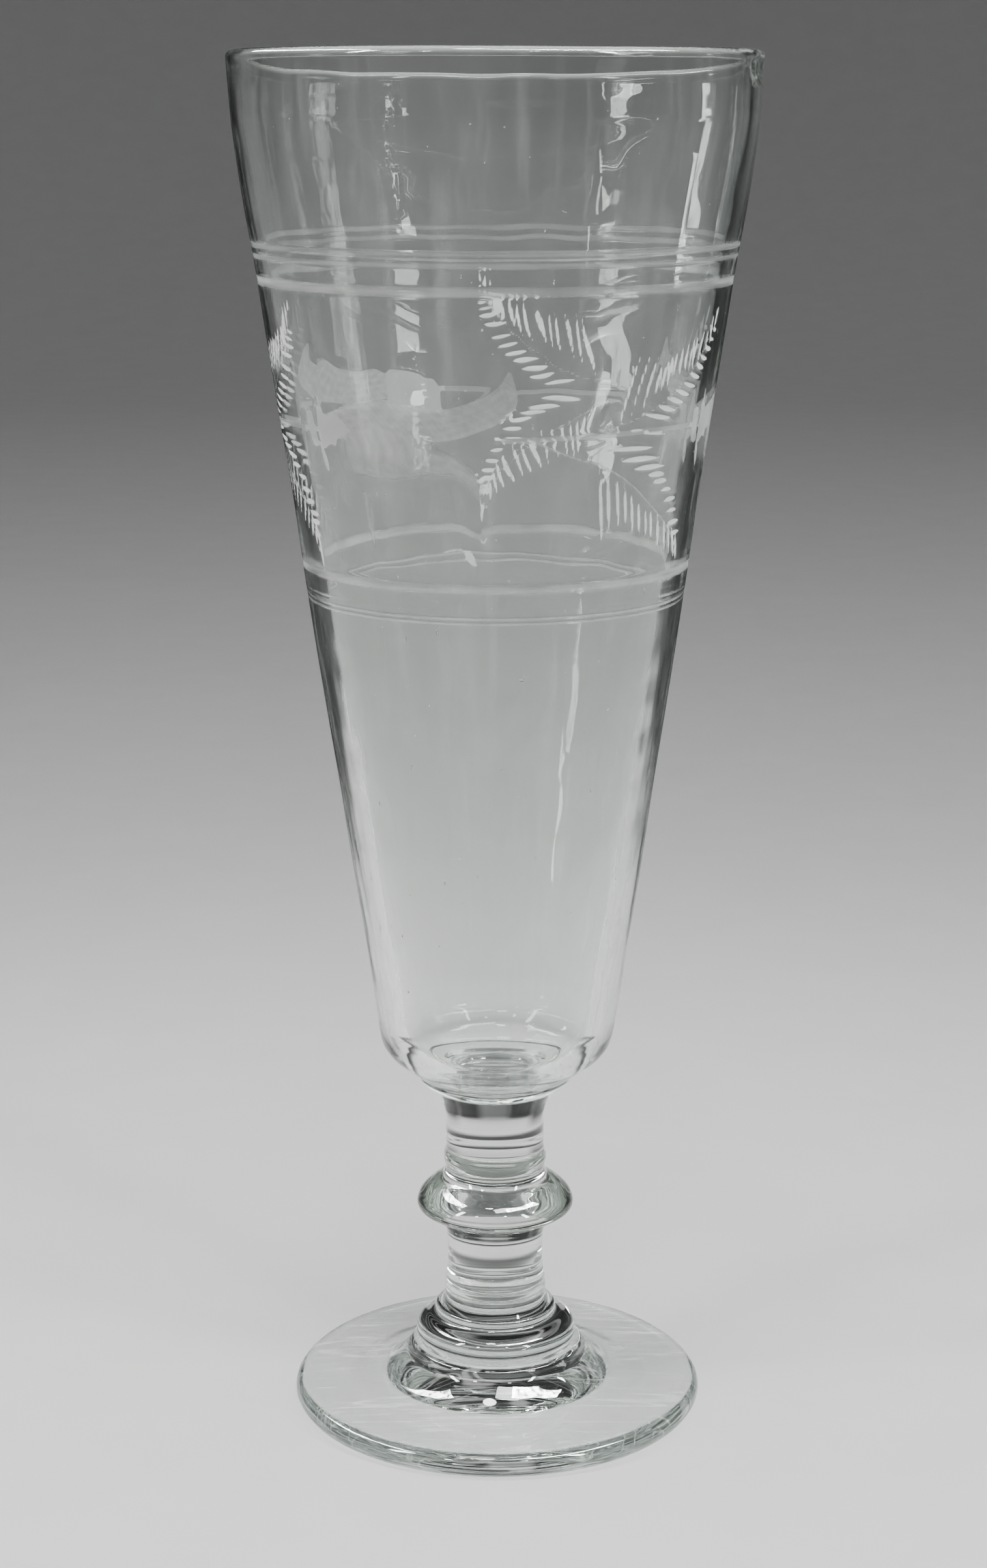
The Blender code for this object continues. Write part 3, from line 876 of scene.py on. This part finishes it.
# --------------------------------------------------------------------------
# collar, stem, knops and foot
# --------------------------------------------------------------------------
def simple(name, points, top_r, bottom_r, count=192, seed=31, fine=0.0010, wobble=1.0):
    top_z, bottom_z = points[0][1], points[-1][1]
    parts = []
    if top_r:
        parts.append((disc(top_r, top_z, True), FUSED))
        parts.append(([(top_r, top_z)], GLASS))
    parts.append((points, GLASS))
    if bottom_r:
        parts.append(([(bottom_r, bottom_z)], FUSED))
        parts.append((disc(bottom_r, bottom_z, False), FUSED))
    rows = rows_of(*parts)
    lo, hi = min(p[1] for p in points), max(p[1] for p in points)

    def shape(theta, r, z, row):
        edge = np.clip(np.minimum(z - lo, hi - z) / 1.0, 0, 1) if wobble else 0.0
        return r + ripple(theta, z, seed, fine) * edge * wobble, z
    return turned(name, rows, count, shape)[0]


top, bottom = Z_SEAT, JOINT["upper_stem"]
collar = simple("collar_glass", spline([
    (14.3, top), (14.45, top - 0.25), (14.45, top - 0.7), (13.9, bottom + 1.7),
    (12.9, bottom + 0.75), (11.9, bottom + 0.2), (11.2, bottom)], 0.25),
    14.3, 11.0, seed=41, wobble=0.5)
top, bottom = JOINT["upper_stem"], JOINT["annular_knop"]
upper = simple("upper_stem_glass", spline([
    (11.0, top), (10.6, 61.2), (10.1, 59.9), (9.6, 58.4), (9.38, 56.9), (9.33, 54.5),
    (9.33, 50.9), (9.42, 50.1), (9.66, 49.4), (9.78, 48.4), (9.62, 47.4), (9.42, 46.8),
    (9.50, 46.1), (9.80, 45.4), (10.15, bottom)], 0.3), 11.0, 10.15, seed=43)
top, bottom = JOINT["annular_knop"], JOINT["lower_stem"]
knop = simple("annular_knop_glass", spline([
    (10.15, top), (10.7, 44.4), (12.0, 43.5), (13.4, 42.3), (14.4, 41.1),
    (R_KNOP, 39.8), (14.75, 38.8), (13.9, 38.0), (12.5, 37.35), (11.2, 36.9),
    (10.5, 36.4), (10.15, 35.8), (9.85, bottom)], 0.3), 10.15, 9.85, seed=47)
top, bottom = JOINT["lower_stem"], JOINT["base_knop"]
lower = simple("lower_stem_glass", spline([
    (9.85, top), (9.35, 33.9), (9.15, 32.6), (9.06, 30.6), (9.04, 28.0), (9.14, 26.2),
    (9.36, 24.7), (9.48, 23.9), (9.38, 23.4), (9.50, 22.9), (9.62, 22.2), (9.50, 21.6),
    (9.70, 20.8), (10.1, 19.8), (10.6, bottom)], 0.3), 9.85, 10.6, seed=53)
top, bottom = JOINT["base_knop"], JOINT["foot"]
base = simple("base_knop_glass", spline([
    (10.6, top), (11.2, top - 0.15), (11.45, top - 0.6), (11.4, top - 1.1), (11.55, top - 1.6),
    (12.3, 16.7), (13.6, 16.1), (14.7, 15.1), (R_BASE, 13.6), (15.2, 12.6),
    (14.7, bottom)], 0.3), 10.6, 14.4, seed=59)
top = JOINT["foot"]
foot_points = spline([
    (14.4, top), (15.7, top - 0.05), (16.45, top - 0.5), (16.75, top - 1.2), (17.3, 9.2),
    (18.6, 7.9), (20.2, 6.5), (21.6, 5.55), (23.2, 5.12), (26.0, 4.96), (30.0, 4.80),
    (34.0, 4.62), (36.6, 4.45), (37.9, 4.12), (38.65, 3.4), (R_FOOT, 2.3),
    (38.75, 1.25), (38.05, 0.4), (36.9, 0.02), (36.4, 0.0)], 0.4)
foot_points += [(33.5, 0.0), (30.0, 0.0)]
foot_points += spline([(29.0, 0.0), (28.0, 0.06), (24.0, 0.5), (18.0, 1.05), (12.0, 1.4),
                       (9.3, 1.5), (8.9, 1.62), (5.0, 1.95), (0.9, 2.05), (0.0, 2.06)], 0.8)
rows = rows_of((disc(14.4, top, True), FUSED), ([(14.4, top)], GLASS), (foot_points, GLASS))


def foot_shape(theta, r, z, row):
    d = ripple(theta, z, 61, 0.0008)
    lift = 0.05 * np.sin(2 * theta + 1.1) * np.clip((z - 1.2) / 2.0, 0, 1) * np.clip((r - 20) / 10, 0, 1)
    r = r + d * np.clip((z - 0.5) / 2.0, 0, 1) * np.clip((R_FOOT - 0.4 - r) / 3.0, 0, 1) * (z < top - 0.1)
    return r, z + lift


foot = turned("foot_glass", rows, 256, foot_shape)[0]

# --------------------------------------------------------------------------
# seeds: small bubbles trapped in the metal, drawn out by the blowing
# --------------------------------------------------------------------------
def bubbles():
    verts, faces = [], []
    rng = np.random.RandomState(5)
    places = [(8.0, 147.0, 0.34, 0.26), (-18.0, 155.5, 0.20, 0.5)]
    for _ in range(34):
        places.append((rng.uniform(-180, 180), rng.uniform(84, 240), rng.uniform(0.10, 0.22),
                       rng.uniform(0.15, 0.75)))
    for az, z, w, h in places:
        mid = float(wall_radius(z) - 0.5 * wall_thickness(z))
        a = math.radians(az)
        dx, dy = sway(z)
        centre = np.array([mid * math.sin(a) + dx, -mid * math.cos(a) + dy, z])
        out = np.array([math.sin(a), -math.cos(a), 0])
        side = np.array([math.cos(a), math.sin(a), 0])
        up = np.array([0, 0, 1.0])
        n, m, base_i = 12, 8, len(verts)
        verts.append(centre + up * h)
        for i in range(1, m):
            p = math.pi * i / m
            for j in range(n):
                q = 2 * math.pi * j / n
                verts.append(centre + up * h * math.cos(p)
                             + (side * math.cos(q) * w + out * math.sin(q) * w * 0.6) * math.sin(p))
        verts.append(centre - up * h)
        for j in range(n):
            faces.append((base_i, base_i + 1 + (j + 1) % n, base_i + 1 + j))
        for i in range(m - 2):
            for j in range(n):
                p0 = base_i + 1 + i * n
                faces.append((p0 + j, p0 + (j + 1) % n, p0 + n + (j + 1) % n, p0 + n + j))
        p0, last = base_i + 1 + (m - 2) * n, len(verts) - 1
        for j in range(n):
            faces.append((last, p0 + j, p0 + (j + 1) % n))
    mesh = bpy.data.meshes.new("seed_bubbles")
    mesh.from_pydata([tuple(v * MM) for v in verts], [], faces)
    mesh.validate()
    mesh.shade_smooth()
    obj = bpy.data.objects.new("seed_bubbles", mesh)
    bpy.context.scene.collection.objects.link(obj)
    mat = bpy.data.materials.new("bubble_air")
    n = Nodes(mat)
    g = n.add("ShaderNodeBsdfGlass")
    n.put(g, Color=(1, 1, 1, 1), Roughness=0.0, IOR=1 / 1.51)
    n.link(lets_light_through(n, g.outputs[0], 1.0), n.out.inputs["Surface"])
    mesh.materials.append(mat)
    return obj


seeds = bubbles()

# --------------------------------------------------------------------------
# materials
# --------------------------------------------------------------------------
fused = fused_material()
bowl_glass = glass_material("bowl_glass_engraved", (0.972, 0.983, 0.976), 0.034, 26.0,
                            engraved=True, streaks=(1, 1, 0.12))
stem_glass = glass_material("stem_glass_thick", (0.957, 0.970, 0.958), 0.02, 70.0)
foot_glass = glass_material("foot_glass_scratched", (0.955, 0.971, 0.963), 0.03, 45.0, scratch=0.22)
for piece, mat, node, slot in (
        (bowl, bowl_glass, "bowl", "bowl_glass"),
        (collar, stem_glass, "bowl_collar", "stem_glass"),
        (upper, stem_glass, "upper_stem", "stem_glass"),
        (knop, stem_glass, "annular_knop", "stem_glass"),
        (lower, stem_glass, "lower_stem", "stem_glass"),
        (base, stem_glass, "base_knop", "stem_glass"),
        (foot, foot_glass, "foot", "foot_glass")):
    piece.data.materials.append(mat)
    piece.data.materials.append(fused)
    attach(piece, "root")
    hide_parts(node)
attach(seeds, "root")

# --------------------------------------------------------------------------
# studio: a pale floor swept up all round, soft lights, camera
# --------------------------------------------------------------------------
scene = bpy.context.scene


def seen_low(n, lo=0.28, hi=0.36):
    """1 for anything looking at a card from near its own level, 0 from above."""
    look = n.add("ShaderNodeNewGeometry")
    split = n.add("ShaderNodeSeparateXYZ")
    n.link(look.outputs["Incoming"], split.inputs[0])
    return n.ramp(split.outputs[2], lo, hi, 1.0, 0.0)


def sweep():
    """A round floor whose far edge curves up, so there's no horizon."""
    profile = [(0.0, 0.0), (0.25, 0.0), (0.6, 0.0), (1.2, 0.0), (1.9, 0.0)]
    for i in range(1, 17):
        a = math.pi / 2 * i / 16
        profile.append((1.9 + 1.6 * math.sin(a), 1.6 - 1.6 * math.cos(a)))
    profile += [(3.5, 2.4), (3.5, 3.4)]
    n = 96
    verts = [(0.0, 0.0, -0.00004)]
    for r, z in profile[1:]:
        verts += [(r * math.cos(2 * math.pi * j / n), r * math.sin(2 * math.pi * j / n), z - 0.00004)
                  for j in range(n)]
    faces = [(0, 1 + j, 1 + (j + 1) % n) for j in range(n)]
    for i in range(len(profile) - 2):
        a = 1 + i * n
        faces += [(a + j, a + n + j, a + n + (j + 1) % n, a + (j + 1) % n) for j in range(n)]
    mesh = bpy.data.meshes.new("floor")
    mesh.from_pydata(verts, [], faces)
    mesh.shade_smooth()
    obj = bpy.data.objects.new("floor", mesh)
    scene.collection.objects.link(obj)
    mat = bpy.data.materials.new("pale_floor")
    nf = Nodes(mat)
    pale = nf.add("ShaderNodeBsdfPrincipled")
    grain = nf.noise(40.0, 6.0, 0.6)
    cr = nf.add("ShaderNodeMixRGB")
    cr.inputs[1].default_value = (0.62, 0.62, 0.622, 1)
    cr.inputs[2].default_value = (0.67, 0.67, 0.668, 1)
    nf.link(grain, cr.inputs[0])
    # painted shade: the floor colour is mixed towards near-black in a disc under the foot, wider for rays
    # arriving at a low slant, but only for rays that have passed through the glass four times or more, to give
    # the bowl's base its dark ellipse
    place = nf.add("ShaderNodeTexCoord")
    far = nf.add("ShaderNodeVectorMath", operation='LENGTH')
    nf.link(place.outputs["Object"], far.inputs[0])
    path = nf.add("ShaderNodeLightPath")
    painted_shade_under_glass = nf.math('MAXIMUM', nf.ramp(far.outputs["Value"], 0.034, 0.048, 0.80, 0.0),
                    nf.math('MULTIPLY', nf.ramp(far.outputs["Value"], 0.070, 0.094, 0.86, 0.0),
                            seen_low(nf, 0.46, 0.56)))
    painted_shade_under_glass = nf.math('MULTIPLY', painted_shade_under_glass, nf.ramp(path.outputs["Transmission Depth"], 3.4, 3.6, 0.0, 1.0))
    # mix the pale floor colour towards the near-black painted shade
    painted_shade_mix = nf.add("ShaderNodeMixRGB")
    painted_shade_mix.inputs[2].default_value = (0.03, 0.03, 0.031, 1)
    nf.link(painted_shade_under_glass, painted_shade_mix.inputs[0])
    nf.link(cr.outputs[0], painted_shade_mix.inputs[1])
    nf.link(painted_shade_mix.outputs[0], pale.inputs["Base Color"])
    pale.inputs["Roughness"].default_value = 0.6
    pale.inputs["Specular IOR Level"].default_value = 0.2
    nf.link(pale.outputs[0], nf.out.inputs["Surface"])
    mesh.materials.append(mat)


sweep()

world = bpy.data.worlds.new("studio")
scene.world = world
world.use_nodes = True
bg = world.node_tree.nodes["Background"]
bg.inputs[0].default_value = (0.96, 0.98, 1.0, 1)
bg.inputs[1].default_value = 0.05

AIM = mathutils.Vector((0.0, 0.0, 0.12))


def stand(azimuth, elevation, distance):
    """A place round the glass; azimuth 0 is at the camera, + to the right."""
    a, el = math.radians(azimuth), math.radians(elevation)
    return mathutils.Vector((distance * math.cos(el) * math.sin(a),
                             -distance * math.cos(el) * math.cos(a),
                             AIM.z + distance * math.sin(el)))


def softbox(name, azimuth, elevation, distance, width, height, power, colour=(1, 1, 1),
            seen_through=True, spread=180.0):
    data = bpy.data.lights.new(name, 'AREA')
    data.shape = 'RECTANGLE'
    data.size, data.size_y = width, height
    data.energy = power
    data.color = colour
    data.spread = math.radians(spread)
    obj = bpy.data.objects.new(name, data)
    scene.collection.objects.link(obj)
    obj.location = stand(azimuth, elevation, distance)
    obj.rotation_euler = (AIM - obj.location).to_track_quat('-Z', 'Y').to_euler()
    obj.visible_camera = False
    obj.visible_transmission = seen_through
    return obj


def dark_ring(name):
    """Soft dark rings flat on the floor round the foot, only there for light
    bent by solid glass: the dark lines across and along the stem."""
    mesh = bpy.data.meshes.new(name)
    n, radii = 96, (0.043, 0.08, 0.12, 0.165)
    verts = [(r * math.cos(2 * math.pi * j / n), r * math.sin(2 * math.pi * j / n), 0.0006)
             for r in radii for j in range(n)]
    faces = [(i * n + j, (i + 1) * n + j, (i + 1) * n + (j + 1) % n, i * n + (j + 1) % n)
             for i in range(len(radii) - 1) for j in range(n)]
    mesh.from_pydata(verts, [], faces)
    obj = bpy.data.objects.new(name, mesh)
    scene.collection.objects.link(obj)
    mat = bpy.data.materials.new(name)
    nr = Nodes(mat)
    dull = nr.add("ShaderNodeBsdfDiffuse")
    dull.inputs[0].default_value = (0.02, 0.02, 0.021, 1)
    clear = nr.add("ShaderNodeBsdfTransparent")
    place = nr.add("ShaderNodeTexCoord")
    far = nr.add("ShaderNodeVectorMath", operation='LENGTH')
    nr.link(place.outputs["Object"], far.inputs[0])
    radius = far.outputs["Value"]
    path = nr.add("ShaderNodeLightPath")
    depth = path.outputs["Transmission Depth"]
    outer = nr.math('MULTIPLY', nr.ramp(radius, 0.100, 0.126, 0.0, 0.92), nr.ramp(radius, 0.142, 0.153, 1.0, 0.0))
    outer = nr.math('MULTIPLY', outer, nr.ramp(depth, 2.4, 2.6, 1.0, 0.0))
    inner = nr.math('MULTIPLY', nr.ramp(radius, 0.044, 0.050, 0.0, 0.8), nr.ramp(radius, 0.058, 0.070, 1.0, 0.0))
    inner = nr.math('MULTIPLY', inner, nr.ramp(depth, 2.4, 2.6, 1.0, 0.0))
    shade = nr.math('MULTIPLY', nr.math('ADD', outer, inner), seen_low(nr, 0.46, 0.56))
    nr.link(nr.mix(shade, clear.outputs[0], dull.outputs[0]), nr.out.inputs["Surface"])
    mesh.materials.append(mat)
    obj.visible_camera = False
    obj.visible_diffuse = False
    obj.visible_glossy = False
    obj.visible_shadow = False


def dark_card(name, azimuth, elevation, distance, width, height, tone=0.012, most=1.0, edges=True):
    """A black card out of shot, fading out to its edges: it gives the edges
    of clear glass a soft dark line."""
    mesh = bpy.data.meshes.new(name)
    w, h = width / 2, height / 2
    mesh.from_pydata([(-w, -h, 0), (w, -h, 0), (w, h, 0), (-w, h, 0)], [], [(0, 1, 2, 3)])
    obj = bpy.data.objects.new(name, mesh)
    scene.collection.objects.link(obj)
    obj.location = stand(azimuth, elevation, distance)
    obj.rotation_euler = (AIM - obj.location).to_track_quat('Z', 'Y').to_euler()
    mat = bpy.data.materials.new(name)
    nc = Nodes(mat)
    dull = nc.add("ShaderNodeBsdfDiffuse")
    dull.inputs[0].default_value = (tone, tone, tone * 1.05, 1)
    clear = nc.add("ShaderNodeBsdfTransparent")
    place = nc.add("ShaderNodeTexCoord")
    split = nc.add("ShaderNodeSeparateXYZ")
    nc.link(place.outputs["Object"], split.inputs[0])
    across = nc.ramp(nc.math('ABSOLUTE', split.outputs[0]), w * 0.35, w, most, 0.0)
    upward = nc.ramp(nc.math('ABSOLUTE', split.outputs[1]), h * 0.55, h, 1.0, 0.0)
    shade = nc.math('MULTIPLY', across, upward)
    if edges:
        # dark for the solid edges only, not seen straight through both walls
        shade = nc.math('MULTIPLY', shade, seen_low(nc))
        path = nc.add("ShaderNodeLightPath")
        shade = nc.math('MULTIPLY', shade, nc.ramp(path.outputs["Transmission Depth"], 2.4, 2.6, 1.0, 0.0))
    nc.link(nc.mix(shade, clear.outputs[0], dull.outputs[0]), nc.out.inputs["Surface"])
    mesh.materials.append(mat)
    obj.visible_camera = False
    obj.visible_diffuse = False
    obj.visible_shadow = False
    return obj


def glow(name, outline, strength, distance=1.25, broken=0.5, deep=True, grain=9.0, steepest=None):
    """A ragged bright patch out of shot, outlined in (azimuth, elevation): a
    window seen past other things, for the broken streaks in blown glass."""
    mesh = bpy.data.meshes.new(name)
    verts = [tuple(stand(az, el, distance)) for az, el in outline]
    mesh.from_pydata(verts, [], [tuple(range(len(verts)))])
    obj = bpy.data.objects.new(name, mesh)
    scene.collection.objects.link(obj)
    mat = bpy.data.materials.new(name)
    ng = Nodes(mat)
    shine = ng.add("ShaderNodeEmission")
    patch = ng.noise(11.0 / distance, 3.0, 0.6, stretch=(1, 1, grain), offset=(len(name) * 1.7, 0.3, 0.8))
    level = ng.ramp(patch, 0.36, 0.56, strength * (1 - broken), strength)
    ng.link(level, shine.inputs["Strength"])
    # only ever there as a reflection, never straight through the glass
    path = ng.add("ShaderNodeLightPath")
    show = ng.ramp(path.outputs["Glossy Depth"], 0.4, 0.6, 0.0, 1.0)
    if deep:
        # far weaker in the front of the bowl than in its far wall
        show = ng.math('MULTIPLY', show, ng.ramp(path.outputs["Transmission Depth"], 2.4, 2.6, 0.01, 1.0))
    if steepest is not None:
        # not for light that rises more steeply than this
        look = ng.add("ShaderNodeNewGeometry")
        split = ng.add("ShaderNodeSeparateXYZ")
        ng.link(look.outputs["Incoming"], split.inputs[0])
        low = -math.sin(math.radians(steepest))
        show = ng.math('MULTIPLY', show, ng.ramp(split.outputs[2], low - 0.015, low + 0.015, 0.0, 1.0))
    clear = ng.add("ShaderNodeBsdfTransparent")
    ng.link(ng.mix(show, clear.outputs[0], shine.outputs[0]), ng.out.inputs["Surface"])
    mesh.materials.append(mat)
    obj.visible_camera = False
    obj.visible_diffuse = False
    obj.visible_shadow = False
    return obj


def pool(name, azimuth, elevation, distance, angle, power, radius):
    """A soft-edged spot that lights the table round the glass."""
    data = bpy.data.lights.new(name, 'SPOT')
    data.energy = power
    data.spot_size = math.radians(angle)
    data.spot_blend = 1.0
    data.shadow_soft_size = radius
    obj = bpy.data.objects.new(name, data)
    scene.collection.objects.link(obj)
    obj.location = stand(azimuth, elevation, distance)
    aim = mathutils.Vector((0.0, 0.02, 0.0))
    obj.rotation_euler = (aim - obj.location).to_track_quat('-Z', 'Y').to_euler()
    obj.visible_camera = False
    return obj


fill = softbox("fill", 0, 90, 2.9, 2.8, 2.8, 27)
fill.visible_glossy = False
fill.visible_transmission = False
pool("table_pool", -20, 74, 1.25, 32, 13, 0.10)
softbox("window_left", -62, 36, 1.15, 0.11, 0.50, 2.0, (1.0, 0.985, 0.97), spread=100)
softbox("window_right", 50, 34, 1.10, 0.09, 0.42, 1.5, (0.97, 0.985, 1.0), spread=100)
softbox("overhead", 20, 66, 0.95, 0.30, 0.16, 1.2, spread=120)
# ragged bright shapes low down, for the streaks on the inside of the far wall
glow("streak_hook_top", [(-59.5, 16.8), (-64.6, 14.9), (-75.6, 12.0), (-84.6, 10.4), (-86.3, 12.5),
                         (-77.0, 15.1), (-71.2, 16.4), (-67.7, 18.6), (-67.7, 24.7), (-58.2, 25.4)],
     46, 0.60, 0.85, grain=2.0, steepest=8.6)
glow("streak_hook_low", [(-58.2, 25.4), (-67.7, 24.7), (-70.1, 26.0), (-70.6, 26.9), (-60.5, 27.7),
                         (-59.6, 26.9)], 9, 0.60, 0.85, grain=2.0)
glow("streak_line", [(-52.0, 28.4), (-53.4, 28.3), (-55.6, 24.4), (-54.6, 24.6)], 40, 0.60, 0.2)
glow("streak_right", [(-122.0, 13.2), (-127.0, 13.9), (-127.6, 17.0), (-125.2, 18.8), (-121.6, 19.9),
                      (-119.0, 20.4), (-121.4, 18.6), (-120.8, 14.6)], 11, 0.60, 0.97, grain=1.5)
glow("streak_low", [(-62.0, -0.4), (-66.0, -1.0), (-69.0, 1.0), (-64.0, 3.4), (-61.0, 3.0)], 9, 1.25, 0.9)
glow("streak_left", [(102.6, 11.2), (87.9, 10.5), (85.4, 17.3), (91.1, 23.5), (99.9, 22.8), (103.7, 17.4)],
     3.6, 0.60, 0.85, grain=2.0)
glow("streak_mid", [(45.0, 11.6), (58.0, 11.4), (57.0, 12.6), (53.0, 13.7), (43.0, 13.7)], 60, broken=0.6)
glow("streak_mid_top", [(58.3, 27.2), (45.9, 27.9), (46.0, 29.0), (58.7, 28.2)], 18, 0.60, 0.9, grain=2.0)
# long low strips overhead, for the glints along the rim, the knops and the foot
glow("rim_left", [(-77.0, 52.0), (-108.0, 41.0), (-135.0, 28.0), (-135.0, 36.0), (-108.0, 49.0), (-77.0, 60.0)],
     60, 1.1, 0.85, False, 3.0)
glow("rim_right", [(29.0, 60.0), (68.0, 54.0), (99.0, 44.0), (99.0, 52.0), (68.0, 62.0), (29.0, 68.0)],
     75, 1.1, 0.85, False, 3.0)
glow("spark_left", [(-34.0, 38.0), (-29.0, 38.0), (-29.0, 43.0), (-34.0, 43.0)], 60, 1.1, 0.2, False)
glow("spark_right", [(16.0, 44.0), (21.0, 44.0), (21.0, 48.0), (16.0, 48.0)], 60, 1.1, 0.2, False)
# black cards behind and to the side, all out of shot
dark_ring("card_floor")
dark_card("card_back", 180, 29, 1.20, 2.10, 0.66, edges=False)
dark_card("card_right", 132, 0.0, 0.118, 0.092, 0.236, 0.03, 0.9)
dark_card("card_left", -132, -12.0, 0.120, 0.092, 0.188, 0.03, 0.9)
dark_card("card_right_edge", 160, 0.0, 0.30, 0.150, 0.236, 0.02, 0.9)
dark_card("card_left_edge", -160, 0.0, 0.30, 0.150, 0.236, 0.02, 0.9)
dark_card("card_far_right", 130, 7.0, 0.70, 0.60, 0.46)
dark_card("card_far_left", -157, 7.0, 0.90, 0.42, 0.50)
dark_card("card_far_left_side", -115, 7.0, 0.90, 0.34, 0.50)

camera_data = bpy.data.cameras.new("camera")
camera = bpy.data.objects.new("camera", camera_data)
scene.collection.objects.link(camera)
camera_data.sensor_fit = 'VERTICAL'
camera_data.sensor_height = 24.0
camera_data.lens = 24.0 * 4474.8 / 2408.0
camera_data.clip_start = 0.01
camera.location = (-0.0003, -0.52586, 0.24509)
camera.rotation_euler = (math.radians(90.0 - 13.2577), 0.0, 0.0)
scene.camera = camera

scene.view_settings.view_transform = 'AgX'
scene.view_settings.look = 'AgX - High Contrast'
scene.cycles.max_bounces = 32
scene.cycles.transmission_bounces = 28
scene.cycles.glossy_bounces = 12
scene.cycles.transparent_max_bounces = 48
scene.cycles.caustics_refractive = False
scene.cycles.caustics_reflective = False
